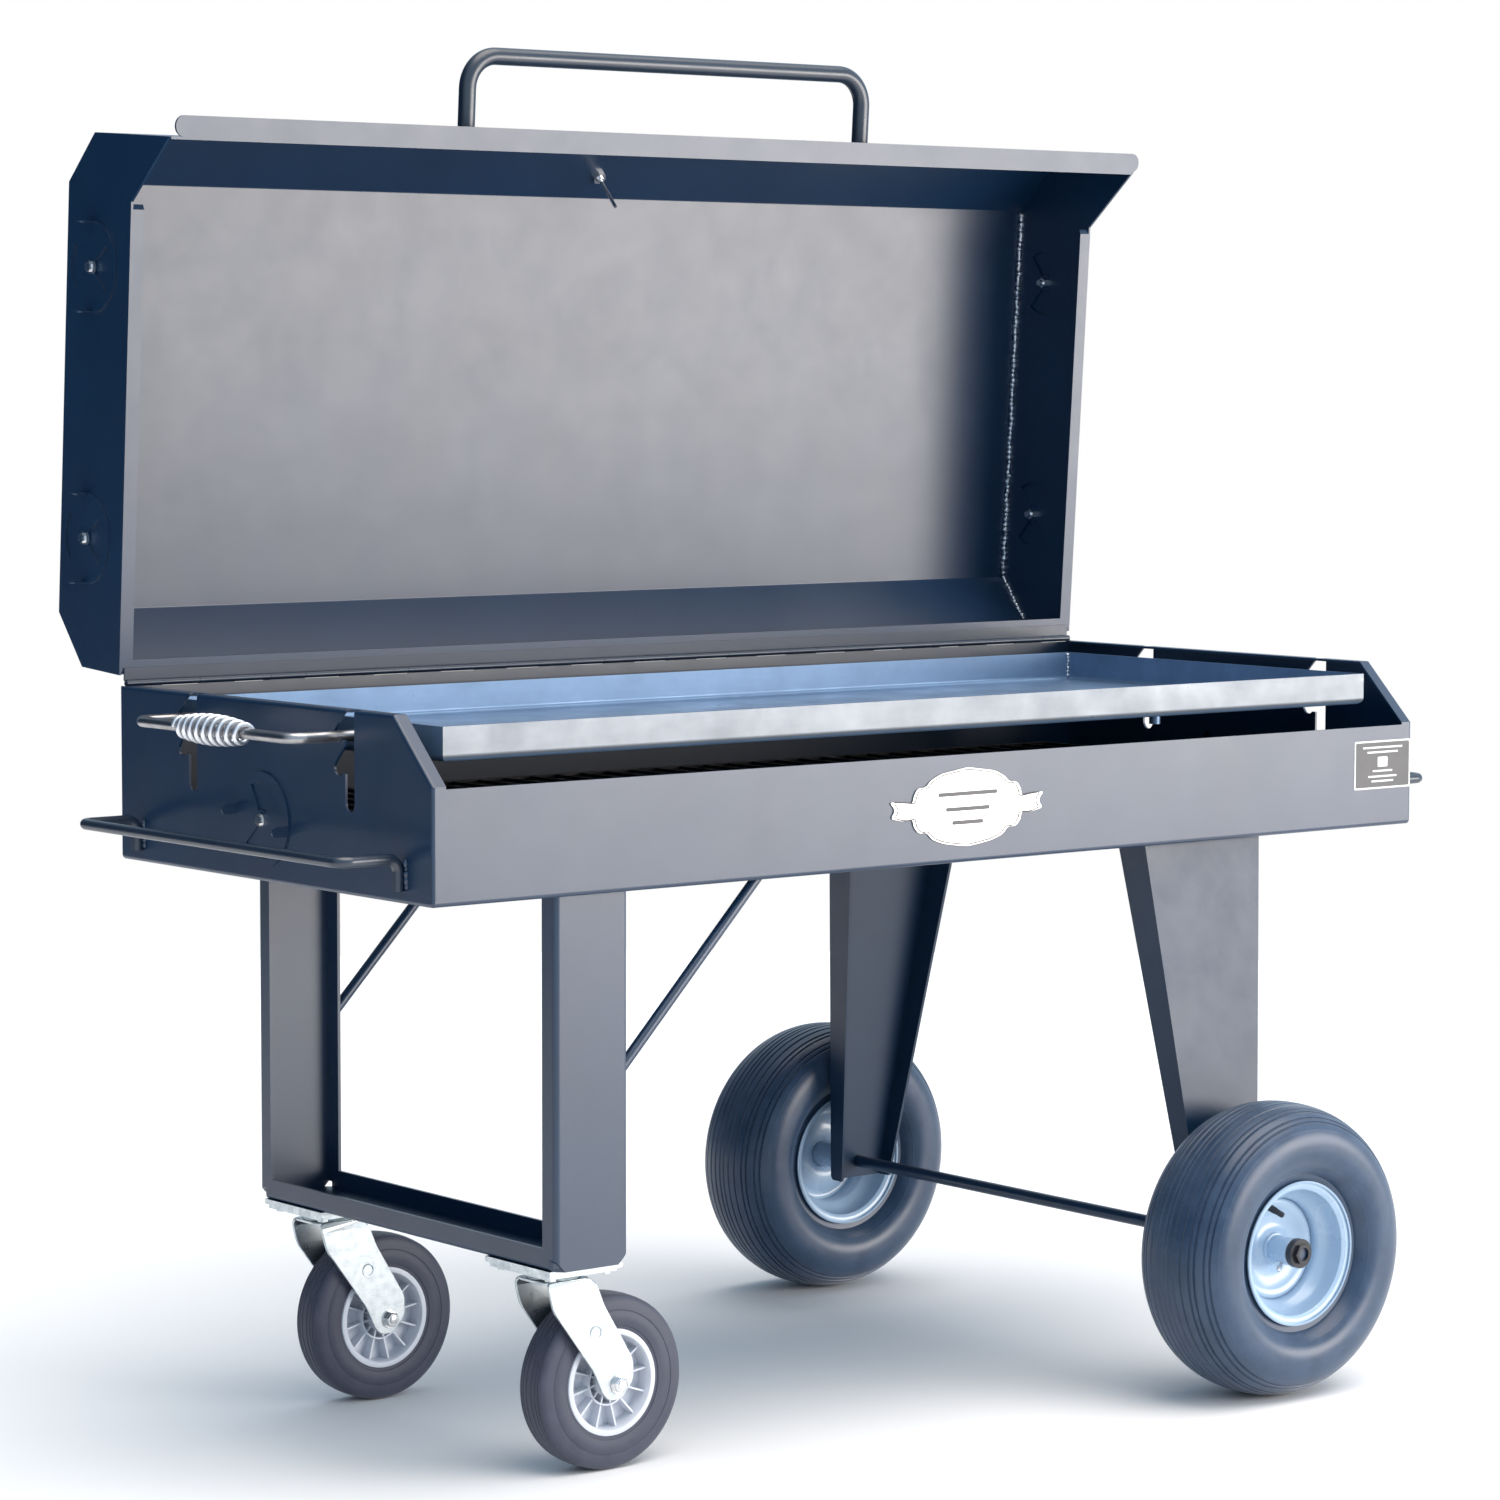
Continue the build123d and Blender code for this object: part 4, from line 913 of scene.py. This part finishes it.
for side in (-1, 1):
    for k, y in enumerate((-0.266, 0.276)):
        tag = f"{'left' if side < 0 else 'right'}_{k}"
        weld_bead(
            f"rail_weld_{tag}",
            (side * 0.7625, y - 0.007, 0.690), (side * 0.7625, y - 0.007, 0.722),
            0.006, "chassis", 40 + k, BLACK_COAT,
        )
print("welds made")

# %% [markdown]
# ## Plaque, label and thermometer dial
# The plaque on the front is a plain badge: a raised rim round a lozenge with
# two ribbon tails. The label is a dark card with a pale edge. Both carry plain
# bars where print would be. The dial gets only ticks and a pointer.

# %% Plaque
plaque_low, plaque_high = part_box("name_plaque")
front_y = plaque_high.y
plaque_mid = (plaque_low + plaque_high) / 2


def on_front(a, b, depth):
    """Point on the front panel, millimetres from the plaque's middle."""
    return Vector((plaque_mid.x + a * MM, front_y - depth, plaque_mid.z + b * MM))


def badge_outline(grow=0.0):
    """A lozenge with scrolled shoulders and two ribbon tails."""
    half = [
        (0, 47), (20, 44), (42, 41), (58, 34), (66, 26), (78, 26), (84, 18),
        (86, 8), (98, 10), (122, 12), (112, 2), (120, -8), (100, -12), (86, -10),
        (84, -20), (76, -28), (64, -27), (56, -36), (38, -42), (18, -45), (0, -47),
    ]
    shrink = 1 - grow
    right = [(a * shrink, b * shrink) for a, b in half]
    left = [(-a, b) for a, b in reversed(right[1:-1])]
    return rounded(right + left, 6, 4)


plate = mesh_piece("badge_plate", *plate_mesh(badge_outline(), 0.0018, on_front), smooth=False)
bevel(plate, 0.0005, 2)
place(plate, "chassis", ["name_plaque"], PLAQUE_METAL)
rim_path = [on_front(a, b, 0.0018) for a, b in badge_outline(0.05)]
rim_path.append(rim_path[0])
badge_rim = mesh_piece("badge_rim", *tube_mesh(rim_path, 0.0007, 8))
place(badge_rim, "chassis", ["name_plaque"], LABEL_DARK)
for index, (b, length) in enumerate(((16, 46), (-2, 34), (-18, 24))):
    bar = rounded([(-length, -2.4), (length, -2.4), (length, 2.4), (-length, 2.4)], 2.2, 4)
    flat = plate_mesh([(a, b + c) for a, c in bar], 0.0024, on_front)
    made = mesh_piece(f"badge_bar_{index}", *flat, smooth=False)
    place(made, "chassis", ["name_plaque"], LABEL_DARK)

# %% Label
label_low, label_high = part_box("data_plate")
label_mid = (label_low + label_high) / 2


def on_label(a, b, depth):
    """Point on the label, millimetres from its middle."""
    return Vector((label_mid.x + a * MM, label_high.y - depth, label_mid.z + b * MM))


def label_patch(name, left, low, right, high, depth, finish):
    """A rounded rectangle laid on the label."""
    outline = rounded([(left, low), (right, low), (right, high), (left, high)], 2.0, 3)
    made = mesh_piece(name, *plate_mesh(outline, depth, on_label), smooth=False)
    return place(made, "chassis", ["data_plate"], finish)


label_patch("label_card", -50.8, -30.8, 50.8, 30.8, 0.0004, LABEL_LIGHT)
label_patch("label_field", -48.5, -28.5, 48.5, 28.5, 0.0005, LABEL_DARK)
for index, (b, half) in enumerate(((22, 36), (16, 28), (-8, 18), (-15, 26), (-21, 20))):
    label_patch(f"label_bar_{index}", -half, b - 1.2, half, b + 1.2, 0.0006, LABEL_LIGHT)
label_patch("label_mark", -9, -3, 9, 10, 0.0006, LABEL_LIGHT)

# %% [markdown]
# The thermometer looks out of the lid's front slope. Its case has a shallow
# recess: a pale face lies at the bottom, with ticks and a pointer on it, and
# a thin glass closes it. The dial's axis is square to the slope, so it is
# worked out from two points of the lid.

# %% Thermometer dial
DIAL_FACE = satin("dial face", (0.70, 0.70, 0.68), (0.78, 0.78, 0.76), 0.40, 0.55, 60)
DIAL_GLASS = satin("dial glass", (0.94, 0.96, 0.97), (0.98, 0.99, 1.0), 0.02, 0.05, 30)
DIAL_GLASS.node_tree.nodes["Principled BSDF"].inputs["Transmission Weight"].default_value = 1.0
glass_low, glass_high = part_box("thermometer_glass")
dial_middle = (glass_low + glass_high) / 2
slope_start, slope_end = lid_point(575, 143, 0), lid_point(635, 86, 0)
dial_up = (slope_end - slope_start).normalized()
dial_out = Vector((1, 0, 0)).cross(dial_up)
if dial_out.dot(lid_point(600, 60, 0) - slope_start) > 0:
    dial_out = -dial_out
GLASS_HALF = 0.75
TICK_COUNT = 21


def on_dial(a, b, depth):
    """Point on the dial; depth is counted from the bottom of the case's recess."""
    level = dial_out * (depth - GLASS_HALF) * MM
    return dial_middle + Vector((a * MM, 0, 0)) + dial_up * b * MM + level


def dial_plate(name, outline, low, high, finish):
    """A flat shape between two depths inside the case."""
    flat = plate_mesh(outline, high - low, lambda a, b, d: on_dial(a, b, low + d))
    made = mesh_piece(name, *flat, smooth=False)
    return place(made, "lid", ["thermometer_glass"], finish)


def disc_outline(radius, steps=72):
    """A circle as an outline."""
    turns = [2 * pi * k / steps for k in range(steps)]
    return [(radius * cos(turn), radius * sin(turn)) for turn in turns]


dial_plate("dial_face", disc_outline(25.8), 0.05, 0.40, DIAL_FACE)
dial_plate("dial_glass", disc_outline(25.9), 1.10, 1.50, DIAL_GLASS)
ticks = []
for k in range(TICK_COUNT):
    angle = radians(-225 + 13.5 * k)
    inner = 18.0 if k % 5 == 0 else 20.5
    spoke = Vector((cos(angle), sin(angle)))
    across = Vector((-sin(angle), cos(angle))) * (0.5 if k % 5 == 0 else 0.3)
    near, far = spoke * inner, spoke * 23.0
    corners = [tuple(near - across), tuple(far - across), tuple(far + across), tuple(near + across)]
    ticks.append(plate_mesh(corners, 0.15, lambda a, b, d: on_dial(a, b, 0.40 + d)))
made = mesh_piece("dial_ticks", *merge(ticks), smooth=False)
place(made, "lid", ["thermometer_glass"], LABEL_DARK)
pointer = [(3.2, 4.6), (4.6, 3.2), (-11.2, -12.6), (-12.6, -11.2)]
dial_plate("dial_pointer", pointer, 0.60, 0.80, LABEL_DARK)
dial_plate("dial_cap", disc_outline(2.4, 24), 0.60, 1.00, LABEL_DARK)
print("dial made")

# %% [markdown]
# ## Studio
# Satin black sheet is drawn by what it reflects, so the lights are large and
# soft. A wide warm panel to the front right gives the front faces their pale
# sheen. A broad overhead light fills the tray and whitens the floor. The air
# is cool and even, with a dim navy side at the back left, which is what the
# left faces mirror, so those stay dark.

# %% Floor
floor_mesh = bpy.data.meshes.new("studio_floor")
FLOOR_R, FLOOR_STEPS = 4.2, 96
floor_rim = [
    (FLOOR_R * cos(2 * pi * k / FLOOR_STEPS), FLOOR_R * sin(2 * pi * k / FLOOR_STEPS), 0.0)
    for k in range(FLOOR_STEPS)
]
floor_mesh.from_pydata(floor_rim, [], [tuple(range(FLOOR_STEPS))])
floor = bpy.data.objects.new("studio_floor", floor_mesh)
scene.collection.objects.link(floor)
floor_finish = satin("pale floor", (0.86, 0.86, 0.86), (0.90, 0.90, 0.90), 0.75, 0.9, 0.4, 20)
floor.data.materials.append(floor_finish)
print("floor radius:", FLOOR_R)

# %% Air
world = bpy.data.worlds.new("studio_air")
scene.world = world
world.use_nodes = True
air = world.node_tree
sky = air.nodes["Background"]
DIM_CORNER, COOL_AIR, WHITE_AIR = (0.020, 0.045, 0.090), (0.66, 0.83, 1.0), (1.0, 1.0, 1.0)
DIM_SIDE = (-0.65, 0.76, 0.0)
AIR_POWER = 0.95
sky.inputs["Strength"].default_value = AIR_POWER
direction = air.nodes.new("ShaderNodeTexCoord").outputs["Generated"]
toward = air.nodes.new("ShaderNodeVectorMath")
toward.operation = "DOT_PRODUCT"
toward.inputs[1].default_value = DIM_SIDE
air.links.new(direction, toward.inputs[0])
tone = ramp(air, toward.outputs["Value"], COOL_AIR, DIM_CORNER, 0.30, 0.80)
air.links.new(tone, sky.inputs["Color"])
backdrop = air.nodes.new("ShaderNodeBackground")
backdrop.inputs["Color"].default_value = (*WHITE_AIR, 1)
chooser = air.nodes.new("ShaderNodeMixShader")
ray = air.nodes.new("ShaderNodeLightPath")
air.links.new(ray.outputs["Is Camera Ray"], chooser.inputs["Fac"])
air.links.new(sky.outputs["Background"], chooser.inputs[1])
air.links.new(backdrop.outputs["Background"], chooser.inputs[2])
air.links.new(chooser.outputs["Shader"], air.nodes["World Output"].inputs["Surface"])

# %% Lights


def soft_panel(name, at, target, width, height, power, tint):
    """A rectangular area light aimed at a point."""
    light = bpy.data.lights.new(name, "AREA")
    light.shape = "RECTANGLE"
    light.size, light.size_y = width, height
    light.energy = power
    light.color = tint
    lamp = bpy.data.objects.new(name, light)
    lamp.location = at
    lamp.rotation_euler = (Vector(target) - Vector(at)).to_track_quat("-Z", "Y").to_euler()
    lamp.visible_camera = False
    scene.collection.objects.link(lamp)


soft_panel("front_panel_light", (3.3, -4.4, 1.16), (0, 0, 0.9), 4.4, 2.0, 262, (1.0, 0.92, 0.85))
overhead = bpy.data.lights.new("overhead_light", "SUN")
overhead.energy, overhead.angle, overhead.color = 2.9, radians(60), (1.0, 0.88, 0.77)
overhead_lamp = bpy.data.objects.new("overhead_light", overhead)
overhead_lamp.rotation_euler = (radians(12), radians(8), 0)
scene.collection.objects.link(overhead_lamp)

# %% [markdown]
# ## Camera
# A long lens from the front left, a little above the tray: far enough away
# that the box keeps nearly parallel edges.

# %% Camera
CAMERA_AT = Vector((-3.5958, -4.4029, 1.2596))
CAMERA_YAW, CAMERA_PITCH, CAMERA_ROLL = radians(38.726), radians(4.777), radians(0.117)
SENSOR_MM, LENS_MM = 36.0, 111.03408
right = Vector((cos(CAMERA_YAW), -sin(CAMERA_YAW), 0))
level_ahead = Vector((sin(CAMERA_YAW), cos(CAMERA_YAW), 0))
ahead = level_ahead * cos(CAMERA_PITCH) + Vector((0, 0, -sin(CAMERA_PITCH)))
above = right.cross(ahead)
right, above = (
    right * cos(CAMERA_ROLL) + above * sin(CAMERA_ROLL),
    above * cos(CAMERA_ROLL) - right * sin(CAMERA_ROLL),
)
lens = bpy.data.cameras.new("studio_camera")
lens.sensor_width = SENSOR_MM
lens.lens = LENS_MM
camera = bpy.data.objects.new("studio_camera", lens)
turn = Matrix((right, above, -ahead)).transposed().to_4x4()
camera.matrix_world = Matrix.Translation(CAMERA_AT) @ turn
scene.collection.objects.link(camera)
scene.camera = camera
scene.view_settings.view_transform = "Standard"
print("camera at", tuple(round(c, 3) for c in CAMERA_AT))
